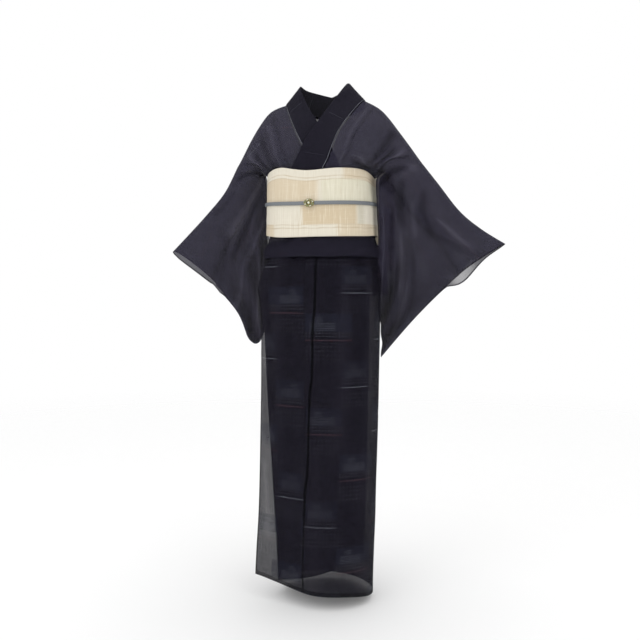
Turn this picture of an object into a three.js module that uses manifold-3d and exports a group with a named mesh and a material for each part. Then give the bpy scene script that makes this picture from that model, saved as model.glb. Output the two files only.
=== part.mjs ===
// Sheer summer kimono in its worn form, with the sash, the cord and the slide that close it.
// Millimetres, +Z up, the front faces -Y and the wearer's left is +X.
// Heights in the tables are above the ground under the hem. The origin is on the shoulder line.
import * as THREE from "three";
import Module from "manifold-3d";

const SHOULDER_HEIGHT = 1270; // shoulder line at the side of the neck, above the ground
const CLOTH = 1.5; // wall of the kimono cloth
const COLLAR_CLOTH = 2.6; // collar band, folded double
const SASH_CLOTH = 3.0; // sash band, folded double
const SEAM = 0.4; // space between two pieces at a seam
const ARMHOLE_SEAM = 1.9; // the same at the armhole, where the two walls meet at an angle
const COLLAR_SEAM = 0.9; // and along the collar
const LAP = 9; // how far an inner layer lies inside the one over it

const NAVY = { color: 0x1b1c2a, roughness: 0.85, metalness: 0 };
const SASH = { color: 0xe4dac2, roughness: 0.8, metalness: 0 };
const CORD = { color: 0x8d9198, roughness: 0.7, metalness: 0 };
const BRASS = { color: 0x8b7f45, roughness: 0.4, metalness: 0.8 };

const group = new THREE.Group();
const rad = (d) => (d * Math.PI) / 180;
const lerp = (a, b, t) => a + (b - a) * t;
const ease = (t) => {
  const c = Math.min(1, Math.max(0, t));
  return c * c * (3 - 2 * c);
};
const V = (x, y, z) => new THREE.Vector3(x, y, z);

// Smooth curve through the rows of a table, at t from 0 to rows.length - 1.
function through(rows, t) {
  const n = rows.length;
  const i = Math.min(n - 2, Math.max(0, Math.floor(t)));
  const f = t - i;
  const a = rows[Math.max(0, i - 1)];
  const b = rows[i];
  const c = rows[i + 1];
  const d = rows[Math.min(n - 1, i + 2)];
  return b.map((_, k) => {
    const m0 = (c[k] - a[k]) / 2;
    const m1 = (d[k] - b[k]) / 2;
    const f2 = f * f;
    const f3 = f2 * f;
    return (
      (2 * f3 - 3 * f2 + 1) * b[k] +
      (f3 - 2 * f2 + f) * m0 +
      (-2 * f3 + 3 * f2) * c[k] +
      (f3 - f2) * m1
    );
  });
}

// The row of a table at a value of its first column, which falls or rises steadily.
function at(table, value) {
  const sign = table[1][0] > table[0][0] ? 1 : -1;
  let i = 0;
  while (i < table.length - 2 && sign * (value - table[i + 1][0]) > 0) i++;
  const f = (value - table[i][0]) / (table[i + 1][0] - table[i][0]);
  return through(table, i + Math.min(1, Math.max(0, f)));
}

function mesh(name, geometry, look) {
  const m = new THREE.Mesh(geometry, new THREE.MeshStandardMaterial({ ...look }));
  m.name = name;
  m.position.z = -SHOULDER_HEIGHT;
  m.updateMatrix();
  group.add(m);
  return m;
}

function geometryOf(points, faces) {
  let volume = 0;
  for (const [a, b, c] of faces) {
    volume += points[a].dot(V(0, 0, 0).crossVectors(points[b], points[c]));
  }
  const g = new THREE.BufferGeometry();
  const flat = points.flatMap((p) => [p.x, p.y, p.z]);
  g.setAttribute("position", new THREE.Float32BufferAttribute(flat, 3));
  g.setIndex(faces.flatMap(([a, b, c]) => (volume < 0 ? [a, c, b] : [a, b, c])));
  g.computeVertexNormals();
  return g;
}

// Unit normals of a grid of points; round says that its columns close on themselves.
function normalsOf(grid, round) {
  const rows = grid.length;
  const cols = grid[0].length;
  return grid.map((row, i) =>
    row.map((_, j) => {
      const j0 = round ? (j + cols - 1) % cols : Math.max(0, j - 1);
      const j1 = round ? (j + 1) % cols : Math.min(cols - 1, j + 1);
      const i0 = Math.max(0, i - 1);
      const i1 = Math.min(rows - 1, i + 1);
      const across = grid[i][j1].clone().sub(grid[i][j0]);
      const along = grid[i1][j].clone().sub(grid[i0][j]);
      return across.cross(along).normalize();
    }),
  );
}

// A wall of even thickness on a grid of points. side +1 or -1 says to which side it goes.
function wall(grid, thickness, side, round = false) {
  const rows = grid.length;
  const cols = grid[0].length;
  const normals = normalsOf(grid, round);
  const points = [];
  const faces = [];
  const face = [0, 1].map((layer) =>
    grid.map((row, i) =>
      row.map((p, j) => {
        points.push(p.clone().addScaledVector(normals[i][j], layer * side * thickness));
        return points.length - 1;
      }),
    ),
  );
  const quad = (a, b, c, d) => faces.push([a, b, c], [a, c, d]);
  const last = round ? cols : cols - 1;
  for (let i = 0; i < rows - 1; i++) {
    for (let j = 0; j < last; j++) {
      const k = (j + 1) % cols;
      quad(face[0][i][j], face[0][i][k], face[0][i + 1][k], face[0][i + 1][j]);
      quad(face[1][i][j], face[1][i + 1][j], face[1][i + 1][k], face[1][i][k]);
    }
  }
  const [f, g] = face;
  for (let j = 0; j < last; j++) {
    const k = (j + 1) % cols;
    quad(f[0][k], f[0][j], g[0][j], g[0][k]);
    quad(f[rows - 1][j], f[rows - 1][k], g[rows - 1][k], g[rows - 1][j]);
  }
  if (!round) {
    for (let i = 0; i < rows - 1; i++) {
      quad(f[i][0], f[i + 1][0], g[i + 1][0], g[i][0]);
      quad(f[i + 1][cols - 1], f[i][cols - 1], g[i][cols - 1], g[i + 1][cols - 1]);
    }
  }
  return geometryOf(points, faces);
}

// Skirt
// The wrapped skirt by height: half width, half depth front and back, centre across.
const SKIRT = [
  // height, half width, front, back, centre x
  [914, 129, 107, 118.4, -6],
  [899, 131, 107, 110, -6],
  [880, 141, 113, 113, -6],
  [850, 149, 120, 119, -6],
  [800, 152, 123, 122, -6],
  [720, 152, 123, 122, -6],
  [600, 149, 121, 120, -5],
  [430, 143, 118, 118, -2],
  [240, 134, 114, 115, 1],
  [40, 125, 110, 112, 3],
];
// The free front edge of the outer overlap, and the seam beside it.
const FRONT_EDGE = [
  // height, edge x, edge y, seam angle
  [914, -104, -61, -4],
  [880, -122, -64, -4],
  [852, -140, -62, -5],
  [800, -160, -58, -5],
  [740, -151, -62, -5],
  [600, -149, -66, -5],
  [430, -151, -68, -7],
  [240, -155, -70, -11],
  [60, -165, -70, -15],
];
// Hem height by angle round the body, 0 at the front and 90 at the wearer's left.
const OUTER_HEM = [
  // angle, height
  [-75, 62],
  [-30, 47],
  [0, 38],
  [40, 32],
  [90, 15],
  [180, 16],
  [270, 26],
];
const INNER_HEM = [
  // angle, height
  [-90, 28],
  [-45, 56],
  [0, 84],
  [40, 112],
  [70, 132],
];
const SKIRT_TOP = 912;
const SKIRT_ROWS = 15;
const SIDE_SEAM = 86;
const OPENING_LAP = 68; // angle at which the inner overlap ends, inside the wearer's left

function skirtRing(angle, height, inside = 0) {
  const [, half, front, back, centre] = at(SKIRT, height);
  const c = Math.cos(rad(angle));
  const depth = c > 0 ? front : back;
  return V(
    centre + (half - inside) * Math.sin(rad(angle)),
    -(depth - inside) * c,
    height,
  );
}

function skirtPanel(columns, pointAt, hemAt) {
  const grid = [];
  for (let i = 0; i < SKIRT_ROWS; i++) {
    const row = [];
    for (let j = 0; j < columns; j++) {
      const u = j / (columns - 1);
      const f = i / (SKIRT_ROWS - 1);
      // the rows lie closer together at the waist
      const height = lerp(SKIRT_TOP, hemAt(u), Math.pow(f, 1.35));
      row.push(pointAt(u, height));
    }
    grid.push(row);
  }
  return grid;
}
const seamOf = (height) => at(FRONT_EDGE, height)[3];
const degOf = (mm) => mm / 2.35; // a step along the cloth, as an angle

// outer left front: from the overlap seam round to the wearer's left side
const leftFront = skirtPanel(
  11,
  (u, h) => skirtRing(lerp(seamOf(h) + degOf(SEAM), SIDE_SEAM - degOf(SEAM), u), h),
  (u) => at(OUTER_HEM, lerp(-12, SIDE_SEAM, u))[1],
);
// outer left overlap: from the seam to the free edge, standing off the body at the end
const leftOverlap = skirtPanel(
  8,
  (u, h) => {
    const [, x, y, seam] = at(FRONT_EDGE, h);
    const a = skirtRing(seam - degOf(SEAM), h);
    const b = skirtRing(seam - degOf(SEAM) - 1, h);
    const step = b.sub(a).multiplyScalar(28);
    const end = V(x, y, h);
    const k = 1 - u;
    return V(0, 0, 0)
      .addScaledVector(a, k * k)
      .addScaledVector(a.clone().add(step), 2 * k * u)
      .addScaledVector(end, u * u);
  },
  (u) => at(OUTER_HEM, lerp(-12, -75, u))[1],
);
// back panels, meeting at the centre back seam
const leftBack = skirtPanel(
  10,
  (u, h) => skirtRing(lerp(SIDE_SEAM + degOf(SEAM), 180 - degOf(SEAM) / 2, u), h),
  (u) => at(OUTER_HEM, lerp(SIDE_SEAM, 180, u))[1],
);
const rightBack = skirtPanel(
  10,
  (u, h) => skirtRing(lerp(180 + degOf(SEAM) / 2, 360 - SIDE_SEAM - degOf(SEAM), u), h),
  (u) => at(OUTER_HEM, lerp(180, 270, u))[1],
);
// inner right front and overlap: they dip under the outer layer
const underLap = (angle) => LAP * ease((angle + SIDE_SEAM) / 45);
const rightFront = skirtPanel(
  10,
  (u, h) => {
    const angle = lerp(-SIDE_SEAM + degOf(SEAM), 4 - degOf(SEAM), u);
    return skirtRing(angle, h, underLap(angle));
  },
  (u) => at(INNER_HEM, lerp(-SIDE_SEAM, 4, u))[1],
);
const rightOverlap = skirtPanel(
  7,
  (u, h) => skirtRing(lerp(4 + degOf(SEAM), OPENING_LAP, u), h, LAP),
  (u) => at(INNER_HEM, lerp(4, OPENING_LAP, u))[1],
);
mesh("skirt_left_front", wall(leftFront, CLOTH, 1), NAVY);
mesh("skirt_left_overlap", wall(leftOverlap, CLOTH, -1), NAVY);
mesh("skirt_left_back", wall(leftBack, CLOTH, 1), NAVY);
mesh("skirt_right_back", wall(rightBack, CLOTH, 1), NAVY);
mesh("skirt_right_front", wall(rightFront, CLOTH, 1), NAVY);
mesh("skirt_right_overlap", wall(rightOverlap, CLOTH, 1), NAVY);

// Sleeves
// Mid surface of a sleeve by share of its width from the armhole seam to the outer edge:
// the top fold, the underside of the arm, the middle and the bottom fold, then half depths.
const LEFT_SLEEVE = [
  // top x, y, z,  under x, y, z,  middle x, y, z,  bottom x, y, z,  arm, under, low
  [249, 0, 1108, 154, -4, 1090, 146, 40, 905, 124, 98, 742, 46, 20, 8],
  [291, -6, 1053, 208, 0, 1003, 172, 48, 862, 129, 101, 706, 44, 18, 9],
  [344, -14, 983, 262, 2, 938, 198, 46, 812, 132, 103, 672, 40, 17, 10],
  [395, -24, 938, 311, 2, 880, 220, 46, 764, 133, 105, 640, 36, 16, 9],
  [452, -34, 900, 343, 0, 826, 236, 50, 728, 130, 106, 612, 33, 14, 7],
];
const RIGHT_SLEEVE = [
  [-231, 0, 1112, -160, 0, 1096, -165, 45, 910, -156, 90, 740, 46, 6, 8],
  [-264, -6, 1050, -200, -2, 1012, -183, 40, 862, -172, 88, 708, 42, 16, 9],
  [-309, -14, 997, -238, -4, 942, -207, 37, 816, -193, 86, 672, 40, 17, 10],
  [-356, -24, 947, -273, -5, 874, -232, 34, 774, -216, 82, 645, 36, 16, 9],
  [-405, -34, 896, -302, -6, 806, -253, 30, 738, -239, 68, 674, 33, 14, 7],
];
const UNDER_SHARE = 0.3; // share of the sleeve's length down to the underside of the arm
const SLEEVE_SIDE = 16; // points on one layer, from the top fold to the bottom fold
const SLEEVE_RINGS = 11;
const CUFF_POINTS = 8; // of them, those that stay open at the wrist
const SLEEVE_WAVE = 7;

function sleeveMid(rows, u, d) {
  const r = through(rows, u * (rows.length - 1));
  const column = [0, 3, 6, 9].map((k) => [r[k], r[k + 1], r[k + 2]]);
  const t = d < UNDER_SHARE ? d / UNDER_SHARE : 1 + (2 * (d - UNDER_SHARE)) / (1 - UNDER_SHARE);
  const [x, y, z] = through(column, t);
  // soft slanting folds that fan out from under the arm
  const fold = SLEEVE_WAVE * Math.sin(Math.PI * (5.2 * u + 1.1 * d)) * ease((d - 0.25) / 0.3);
  return V(x, y + fold * ease(u * 3), z);
}
function sleeveHalf(rows, u, d) {
  const r = through(rows, u * (rows.length - 1));
  const [arm, under, low] = [r[12], r[13], r[14]];
  if (d <= UNDER_SHARE) {
    const c = d / UNDER_SHARE;
    return arm * 2 * Math.sqrt(Math.max(0, c * (1 - c))) * (1 - c * c * 0.15) + under * c * c;
  }
  const c = (d - UNDER_SHARE) / (1 - UNDER_SHARE);
  const shut = Math.sqrt(Math.max(0, 1 - Math.pow(Math.max(0, (c - 0.94) / 0.06), 2)));
  return lerp(under, low, ease(c * 1.6)) * shut;
}
// share of the length of each point: closer at the top fold and at the bottom fold
const SLEEVE_SHARES = Array.from({ length: SLEEVE_SIDE }, (_, j) => {
  const under = 7;
  if (j <= under) return (UNDER_SHARE * (1 - Math.cos((Math.PI * j) / under))) / 2;
  const c = (j - under) / (SLEEVE_SIDE - 1 - under);
  return lerp(UNDER_SHARE, 1, Math.sin((c * Math.PI) / 2) * 0.35 + c * 0.65);
});
const UNDER_INDEX = 7;

function sleeveRing(rows, u) {
  const ring = [];
  for (let j = 0; j < SLEEVE_SIDE; j++) {
    const d = SLEEVE_SHARES[j];
    const p = sleeveMid(rows, u, d);
    p.y -= sleeveHalf(rows, u, d);
    ring.push(p);
  }
  for (let j = SLEEVE_SIDE - 2; j > 0; j--) {
    const d = SLEEVE_SHARES[j];
    const p = sleeveMid(rows, u, d);
    p.y += sleeveHalf(rows, u, d);
    ring.push(p);
  }
  return ring;
}

// Both faces of a wall share their diagonals, so that they stay apart where a fold twists.
// A bag: a tube of rings, open at the first ring, sewn shut at the last one below the cuff.
function bag(rings, thickness, side) {
  const n = rings.length;
  const m = rings[0].length;
  const half = m / 2;
  const normals = normalsOf(rings, true);
  const points = [];
  const faces = [];
  const add = (p) => points.push(p) - 1;
  const outer = rings.map((ring) => ring.map((p) => add(p.clone())));
  const inner = rings.map((ring, i) =>
    ring.map((p, j) => {
      const q = p.clone();
      const sewn = i === n - 1 && j >= CUFF_POINTS && j <= m - CUFF_POINTS;
      if (sewn) {
        const back = rings[i - 1][j].clone().sub(p);
        q.addScaledVector(back, (1.2 * thickness) / back.length());
      }
      return add(q.addScaledVector(normals[i][j], side * thickness));
    }),
  );
  const quad = (a, b, c, d) => faces.push([a, b, c], [a, c, d]);
  for (let i = 0; i < n - 1; i++) {
    for (let j = 0; j < m; j++) {
      const k = (j + 1) % m;
      quad(outer[i][j], outer[i][k], outer[i + 1][k], outer[i + 1][j]);
      quad(inner[i][j], inner[i + 1][j], inner[i + 1][k], inner[i][k]);
    }
  }
  const [f, g] = [outer, inner];
  for (let j = 0; j < m; j++) {
    const k = (j + 1) % m;
    quad(f[0][k], f[0][j], g[0][j], g[0][k]);
    if (j >= CUFF_POINTS && k <= m - CUFF_POINTS && k !== 0) continue;
    quad(f[n - 1][j], f[n - 1][k], g[n - 1][k], g[n - 1][j]);
  }
  // the sewn part of the outer edge, from the end of the cuff to the bottom fold
  const [e, h] = [f[n - 1], g[n - 1]];
  for (let j = CUFF_POINTS; j < half; j++) {
    const [a, b] = [j, m - j];
    const [c, d] = [j + 1, m - j - 1];
    if (c === d) {
      faces.push([e[a], e[c], e[b]], [h[a], h[b], h[c]]);
    } else {
      quad(e[a], e[c], e[d], e[b]);
      quad(h[a], h[b], h[d], h[c]);
    }
  }
  const [a, b] = [CUFF_POINTS, m - CUFF_POINTS];
  quad(e[b], h[b], h[a], e[a]);
  return geometryOf(points, faces);
}

function sleeve(name, rows, side) {
  const rings = [];
  for (let i = 0; i < SLEEVE_RINGS; i++) {
    rings.push(sleeveRing(rows, i / (SLEEVE_RINGS - 1)));
  }
  mesh(name, bag(rings, CLOTH, side), NAVY);
}
sleeve("sleeve_left", LEFT_SLEEVE, 1);
sleeve("sleeve_right", RIGHT_SLEEVE, -1);

// Bodice
// The bodice below the armhole, by height, down to the rolled fold of the waist tuck.
const BODICE = [
  // height, half width, front, back, centre x
  [881, 147, 126, 123, -6],
  [873, 150, 129, 126, -6],
  [895, 152, 131, 127, -6],
  [916, 140, 119, 118, -6],
  [960, 135, 114, 113, -6],
  [1010, 134, 113, 112, -6],
  [1046, 133, 112, 111, -6],
  [1068, 132, 112, 110, -6],
];
// Upper rows of a half, over the shoulder: the neck edge and two points toward the armhole.
const LEFT_SHOULDER = [
  // edge x, y, z,  first x, y, z,  second x, y, z,  share of the armhole, front negative
  [28, -112, 1086, 74, -94, 1086, 117, -46, 1088, -1],
  [39, -112, 1106, 84, -102, 1104, 130, -58, 1096, -0.85],
  [48, -110, 1132, 98, -106, 1124, 150, -66, 1106, -0.66],
  [62, -88, 1180, 118, -92, 1168, 176, -62, 1132, -0.4],
  [86, -46, 1232, 140, -56, 1208, 196, -44, 1164, -0.2],
  [104, 0, 1270, 151, 0, 1240, 201, 0, 1176, 0],
  [84, 52, 1262, 138, 46, 1226, 196, 42, 1166, 0.2],
  [1, 96, 1244, 92, 84, 1196, 172, 60, 1136, 0.4],
  [1, 108, 1166, 84, 103, 1140, 146, 62, 1108, 0.66],
  [1, 110, 1112, 78, 98, 1106, 130, 55, 1098, 0.85],
  [1, 110, 1086, 72, 92, 1086, 117, 44, 1088, 1],
];
const RIGHT_SHOULDER = [
  [-4, -101, 1086, -74, -87, 1086, -120, -44, 1090, -1],
  [-14, -100, 1108, -82, -97, 1108, -132, -57, 1104, -0.85],
  [-26, -97, 1132, -90, -102, 1128, -143, -66, 1114, -0.66],
  [-52, -84, 1180, -106, -90, 1176, -160, -61, 1142, -0.4],
  [-80, -46, 1232, -130, -54, 1220, -178, -43, 1174, -0.2],
  [-100, 0, 1272, -146, 0, 1253, -193, 0, 1188, 0],
  [-82, 52, 1262, -130, 46, 1236, -180, 42, 1176, 0.2],
  [-1, 96, 1244, -88, 84, 1200, -164, 60, 1144, 0.4],
  [-1, 108, 1166, -80, 103, 1144, -140, 62, 1114, 0.66],
  [-1, 110, 1112, -78, 98, 1108, -132, 55, 1104, 0.85],
  [-1, 110, 1086, -72, 92, 1086, -120, 44, 1090, 1],
];
// Where the front edge of each half runs below the neck, as an angle round the body.
const LEFT_FRONT_EDGE = [-24, -24, -22, -18, -12, -4, 5, 11];
const RIGHT_FRONT_EDGE = [34, 34, 32, 29, 22, 12, 6, 2];
const BODICE_COLUMNS = 11;

function armhole(rows, share) {
  const c = Math.abs(share);
  const d = (UNDER_SHARE * (1 - Math.cos(Math.PI * c))) / 2;
  const p = sleeveMid(rows, 0, d);
  p.y += Math.sign(share) * sleeveHalf(rows, 0, d);
  // short of the sleeve by the width of the seam
  const next = sleeveMid(rows, 0.06, d);
  next.y += Math.sign(share) * sleeveHalf(rows, 0.06, d);
  const along = next.sub(p).normalize();
  return p.addScaledVector(along, -ARMHOLE_SEAM);
}

function bodiceHalf(shoulder, sleeveRows, frontEdge, mirror, inside) {
  const keys = [];
  const sideGap = 0.18;
  const low = (k, isBack) => {
    const [height, half, front, back, centre] = BODICE[k];
    const row = [];
    for (let j = 0; j < BODICE_COLUMNS; j++) {
      const u = j / (BODICE_COLUMNS - 1);
      const from = isBack ? 180 - 0.1 : mirror * frontEdge[k];
      const angle = lerp(from, isBack ? 90 + sideGap : 90 - sideGap, u);
      const c = Math.cos(rad(angle));
      // an inner half dips under the outer one toward its front edge
      const dip = isBack ? 0 : inside * ease((86 - angle) / 50);
      const x = mirror * (half - dip) * Math.sin(rad(angle)) + centre;
      row.push([x, -((c > 0 ? front : back) - dip) * c, height]);
    }
    return row;
  };
  const high = ([ex, ey, ez, ax, ay, az, bx, by, bz, share]) => {
    const o = armhole(sleeveRows, share);
    const controls = [[ex, ey, ez], [ax, ay, az], [bx, by, bz], [o.x, o.y, o.z]];
    const row = [];
    for (let j = 0; j < BODICE_COLUMNS; j++) {
      row.push(through(controls, (3 * j) / (BODICE_COLUMNS - 1)));
    }
    return row;
  };
  for (let k = 0; k < BODICE.length; k++) keys.push(low(k, false));
  for (const r of shoulder) keys.push(high(r));
  for (let k = BODICE.length - 1; k >= 0; k--) keys.push(low(k, true));
  const grid = [];
  const steps = (keys.length - 1) * 2;
  for (let i = 0; i <= steps; i++) {
    const row = [];
    for (let j = 0; j < BODICE_COLUMNS; j++) {
      const p = V(...through(keys.map((key) => key[j]), i / 2));
      // neither half crosses the centre back seam
      if (p.y > 40) p.x = mirror * Math.max(mirror * p.x, SEAM * 0.9);
      row.push(p);
    }
    grid.push(row);
  }
  return grid;
}
const leftBodice = bodiceHalf(LEFT_SHOULDER, LEFT_SLEEVE, LEFT_FRONT_EDGE, 1, 0);
const rightBodice = bodiceHalf(RIGHT_SHOULDER, RIGHT_SLEEVE, RIGHT_FRONT_EDGE, -1, LAP);
mesh("bodice_left", wall(leftBodice, CLOTH, -1), NAVY);
mesh("bodice_right", wall(rightBodice, CLOTH, 1), NAVY);

// Collar
// Folded edge of the collar band, from under the sash up to the neck and the centre back.
const LEFT_FOLD = [
  // x, y, z
  [-92, -86, 1012],
  [-80, -96, 1046],
  [-66, -103, 1070],
  [-56, -108, 1090],
  [-40, -110, 1118],
  [-22, -106, 1156],
  [9, -91, 1206],
  [37, -52, 1262],
  [61, -10, 1312],
  [54, 46, 1317],
  [0, 86, 1308],
];
const RIGHT_FOLD = [
  [88, -66, 1020],
  [80, -74, 1050],
  [72, -81, 1078],
  [60, -92, 1102],
  [47, -92, 1128],
  [32, -90, 1160],
  [2, -80, 1206],
  [-34, -50, 1262],
  [-59, -10, 1313],
  [-54, 46, 1317],
  [0, 86, 1308],
];
const COLLAR_START = 5; // key row of the bodice at which the collar starts, under the sash
const COLLAR_ACROSS = 5;

function collarRow(bodice, fold, t) {
  // the bodice has two rows of points for each key row
  const edge = bodice[Math.round((COLLAR_START + t) * 2)][0];
  const [x, y, z] = through(fold, t);
  const end = V(x, y, z);
  const toward = end.clone().sub(edge).normalize();
  const start = edge.clone().addScaledVector(toward, COLLAR_SEAM);
  if (t > 9.9) start.x = 0;
  const row = [];
  for (let j = 0; j < COLLAR_ACROSS; j++) {
    row.push(start.clone().lerp(end, j / (COLLAR_ACROSS - 1)));
  }
  return row;
}
const collar = [];
for (let t = 0; t <= 10; t += 0.5) collar.push(collarRow(leftBodice, LEFT_FOLD, t));
for (let t = 9.5; t >= 0; t -= 0.5) collar.push(collarRow(rightBodice, RIGHT_FOLD, t));
mesh("collar", wall(collar, COLLAR_CLOTH, -1), NAVY);

// Sash
const SASH_EDGES = [
  // angle, top height, bottom height
  [-90, 1076, 935],
  [-60, 1089, 928],
  [-35, 1093, 921],
  [-15, 1084, 919],
  [0, 1080, 919],
  [30, 1086, 920],
  [60, 1085, 923],
  [90, 1067, 928],
  [180, 1078, 924],
  [270, 1076, 935],
];
const SASH_ACROSS = 145; // half width at the lower edge
const SASH_FRONT = 125;
const SASH_TAPER = 3; // less at the upper edge
const SASH_CENTRE = -6;
const SASH_COLUMNS = 48;
const SASH_ROWS = 4;

function sashPoint(angle, height, out = 0) {
  const f = (height - 920) / 160;
  const swell = out - SASH_TAPER * f;
  const c = Math.cos(rad(angle));
  return V(
    SASH_CENTRE + (SASH_ACROSS + swell) * Math.sin(rad(angle)),
    -(SASH_FRONT + swell) * c,
    height,
  );
}
const sash = [];
for (let i = 0; i < SASH_ROWS; i++) {
  const row = [];
  for (let j = 0; j < SASH_COLUMNS; j++) {
    const angle = -90 + (360 * j) / SASH_COLUMNS;
    const [, top, bottom] = at(SASH_EDGES, angle);
    row.push(sashPoint(angle, lerp(bottom, top, i / (SASH_ROWS - 1))));
  }
  sash.push(row);
}
mesh("sash_band", wall(sash, SASH_CLOTH, -1, true), SASH);

// A length of sash that follows a path of y and height, even across its width.
function hangingBand(path, halfWidth, steps, columns, hollowing) {
  const grid = [];
  for (let i = 0; i <= steps; i++) {
    const [y, z] = through(path, (i * (path.length - 1)) / steps);
    const row = [];
    for (let j = 0; j < columns; j++) {
      const x = lerp(-halfWidth, halfWidth, j / (columns - 1));
      row.push(V(x, y - hollowing * (x / halfWidth) ** 2 * ease((y - 150) / 50), z));
    }
    grid.push(row);
  }
  return grid;
}
const DRUM_PATH = [
  // y, height
  [123.2, 1050],
  [123.4, 1084],
  [135, 1111],
  [163, 1122],
  [195, 1114],
  [217, 1088],
  [226, 1040],
  [224, 960],
  [212, 892],
  [191, 854],
  [170, 850],
  [158, 872],
  [156, 930],
];
const TAIL_PATH = [
  [127.9, 946],
  [128.8, 916],
  [133, 880],
  [141, 828],
  [147, 778],
];
mesh("sash_drum", wall(hangingBand(DRUM_PATH, 152, 24, 6, 9), SASH_CLOTH, -1), SASH);
mesh("sash_tail", wall(hangingBand(TAIL_PATH, 143, 6, 6, 0), SASH_CLOTH, -1), SASH);
const handEnd = [];
for (let i = 0; i < 4; i++) {
  const row = [];
  for (let j = 0; j < 9; j++) {
    const x = lerp(-160, 160, j / 8);
    row.push(V(x, 182 - 8 * (x / 160) ** 2, lerp(930, 1072, i / 3)));
  }
  handEnd.push(row);
}
mesh("sash_end", wall(handEnd, 4, 1), SASH);

// Cord and slide
const CORD_TALL = 9;
const CORD_THICK = 4;
const CORD_OFF = 0.6; // space between the sash and the back of the cord
const SLIDE_X = -5;
const CORD_BACK = [
  // x, y, share of the rise, from the wearer's side through the drum to the centre back
  [147, 56, 0.85],
  [155, 110, 0.5],
  [161, 150, 0.2],
  [163.4, 168, 0.1],
  [163.2, 173.5, 0.1],
  [160.5, 177.6, 0.05],
  [151, 178, 0],
  [118, 180.6, 0],
  [60, 183.8, 0],
];
const CORD_HEIGHT = 1000;
const CORD_RISE_LEFT = 5; // at the wearer's left side
const CORD_RISE_RIGHT = 12;
const CORD_FRONT_END = 96;
const CORD_BOW = 1.8; // the cord stands off the sash where it passes through the slide
const cordPath = [];
const cordRise = (angle) => (angle > 0 ? CORD_RISE_LEFT : CORD_RISE_RIGHT) * ease(Math.abs(angle) / 90);
const cordSteps = [];
for (let a = -CORD_FRONT_END; a <= CORD_FRONT_END; a += Math.abs(a + 0.1) < 12 ? 3 : 7) {
  cordSteps.push(a); // closer together under the slide
}
for (const angle of cordSteps) {
  const h = CORD_HEIGHT + cordRise(angle);
  const p = sashPoint(angle, h, CORD_OFF + CORD_THICK / 2);
  p.y -= CORD_BOW * Math.exp(-(((p.x - SLIDE_X) / 24) ** 4));
  cordPath.push(p);
}
for (const [x, y, k] of CORD_BACK) cordPath.push(V(x, y, CORD_HEIGHT + k * CORD_RISE_LEFT));
cordPath.push(V(0, 184.7, CORD_HEIGHT));
for (const [x, y, k] of [...CORD_BACK].reverse()) {
  cordPath.push(V(-x, y, CORD_HEIGHT + k * CORD_RISE_RIGHT));
}

function loop(path, tall, thick) {
  const n = path.length;
  // flat braid with rounded edges: the section across, in thickness and height
  const section = [
    [-0.5, -0.36], [-0.5, 0.36], [-0.28, 0.5], [0.28, 0.5],
    [0.5, 0.36], [0.5, -0.36], [0.28, -0.5], [-0.28, -0.5],
  ];
  const points = [];
  const faces = [];
  path.forEach((p, i) => {
    const along = path[(i + 1) % n].clone().sub(path[(i + n - 1) % n]);
    const out = V(along.y, -along.x, 0).normalize();
    const up = along.clone().cross(out).normalize().multiplyScalar(-1);
    for (const [a, b] of section) {
      points.push(p.clone().addScaledVector(out, a * thick).addScaledVector(up, b * tall));
    }
  });
  const m = section.length;
  for (let i = 0; i < n; i++) {
    for (let j = 0; j < m; j++) {
      const [a, b] = [i * m + j, i * m + ((j + 1) % m)];
      const [c, d] = [((i + 1) % n) * m + ((j + 1) % m), ((i + 1) % n) * m + j];
      faces.push([a, b, c], [a, c, d]);
    }
  }
  return geometryOf(points, faces);
}
mesh("cord", loop(cordPath, CORD_TALL, CORD_THICK), CORD);

const wasm = await Module();
wasm.setup();
const { Manifold } = wasm;
function geometryOfSolid(solid) {
  const made = solid.getMesh();
  const g = new THREE.BufferGeometry();
  g.setAttribute("position", new THREE.Float32BufferAttribute(made.vertProperties, 3));
  g.setIndex(Array.from(made.triVerts));
  g.computeVertexNormals();
  return g;
}
const SLIDE_WIDE = 26;
const SLIDE_TALL = 20;
const SLIDE_DEEP = 5;
const cordFront = -(SASH_FRONT - SASH_TAPER / 2 + CORD_OFF + CORD_THICK + CORD_BOW);
const cordMiddle = cordFront + CORD_THICK / 2;
const plateBack = cordFront - 0.5;
const dome = Manifold.sphere(1, 32)
  .scale([SLIDE_WIDE / 2, SLIDE_DEEP, SLIDE_TALL / 2])
  .intersect(Manifold.cube([60, 20, 60], true).translate([0, -10, 0]));
const loopOut = Manifold.cube([12, CORD_THICK + 2.8, CORD_TALL + 2.8], true);
const loopIn = Manifold.cube([16, CORD_THICK + 1.2, CORD_TALL + 1.2], true);
const slide = dome
  .translate([0, plateBack + 0.01, 0])
  .add(loopOut.subtract(loopIn).translate([0, cordMiddle, 0]))
  .translate([SLIDE_X, 0, CORD_HEIGHT]);
mesh("cord_slide", geometryOfSolid(slide), BRASS);

export default group;
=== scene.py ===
"""Looks of a sheer summer kimono in its worn form, with its sash, flat cord and slide.

Tables are in millimetres: x to the wearer's left, y to the back, and heights above the ground.
"""

import math

import bmesh
import bpy
from mathutils import Matrix, Vector


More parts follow.
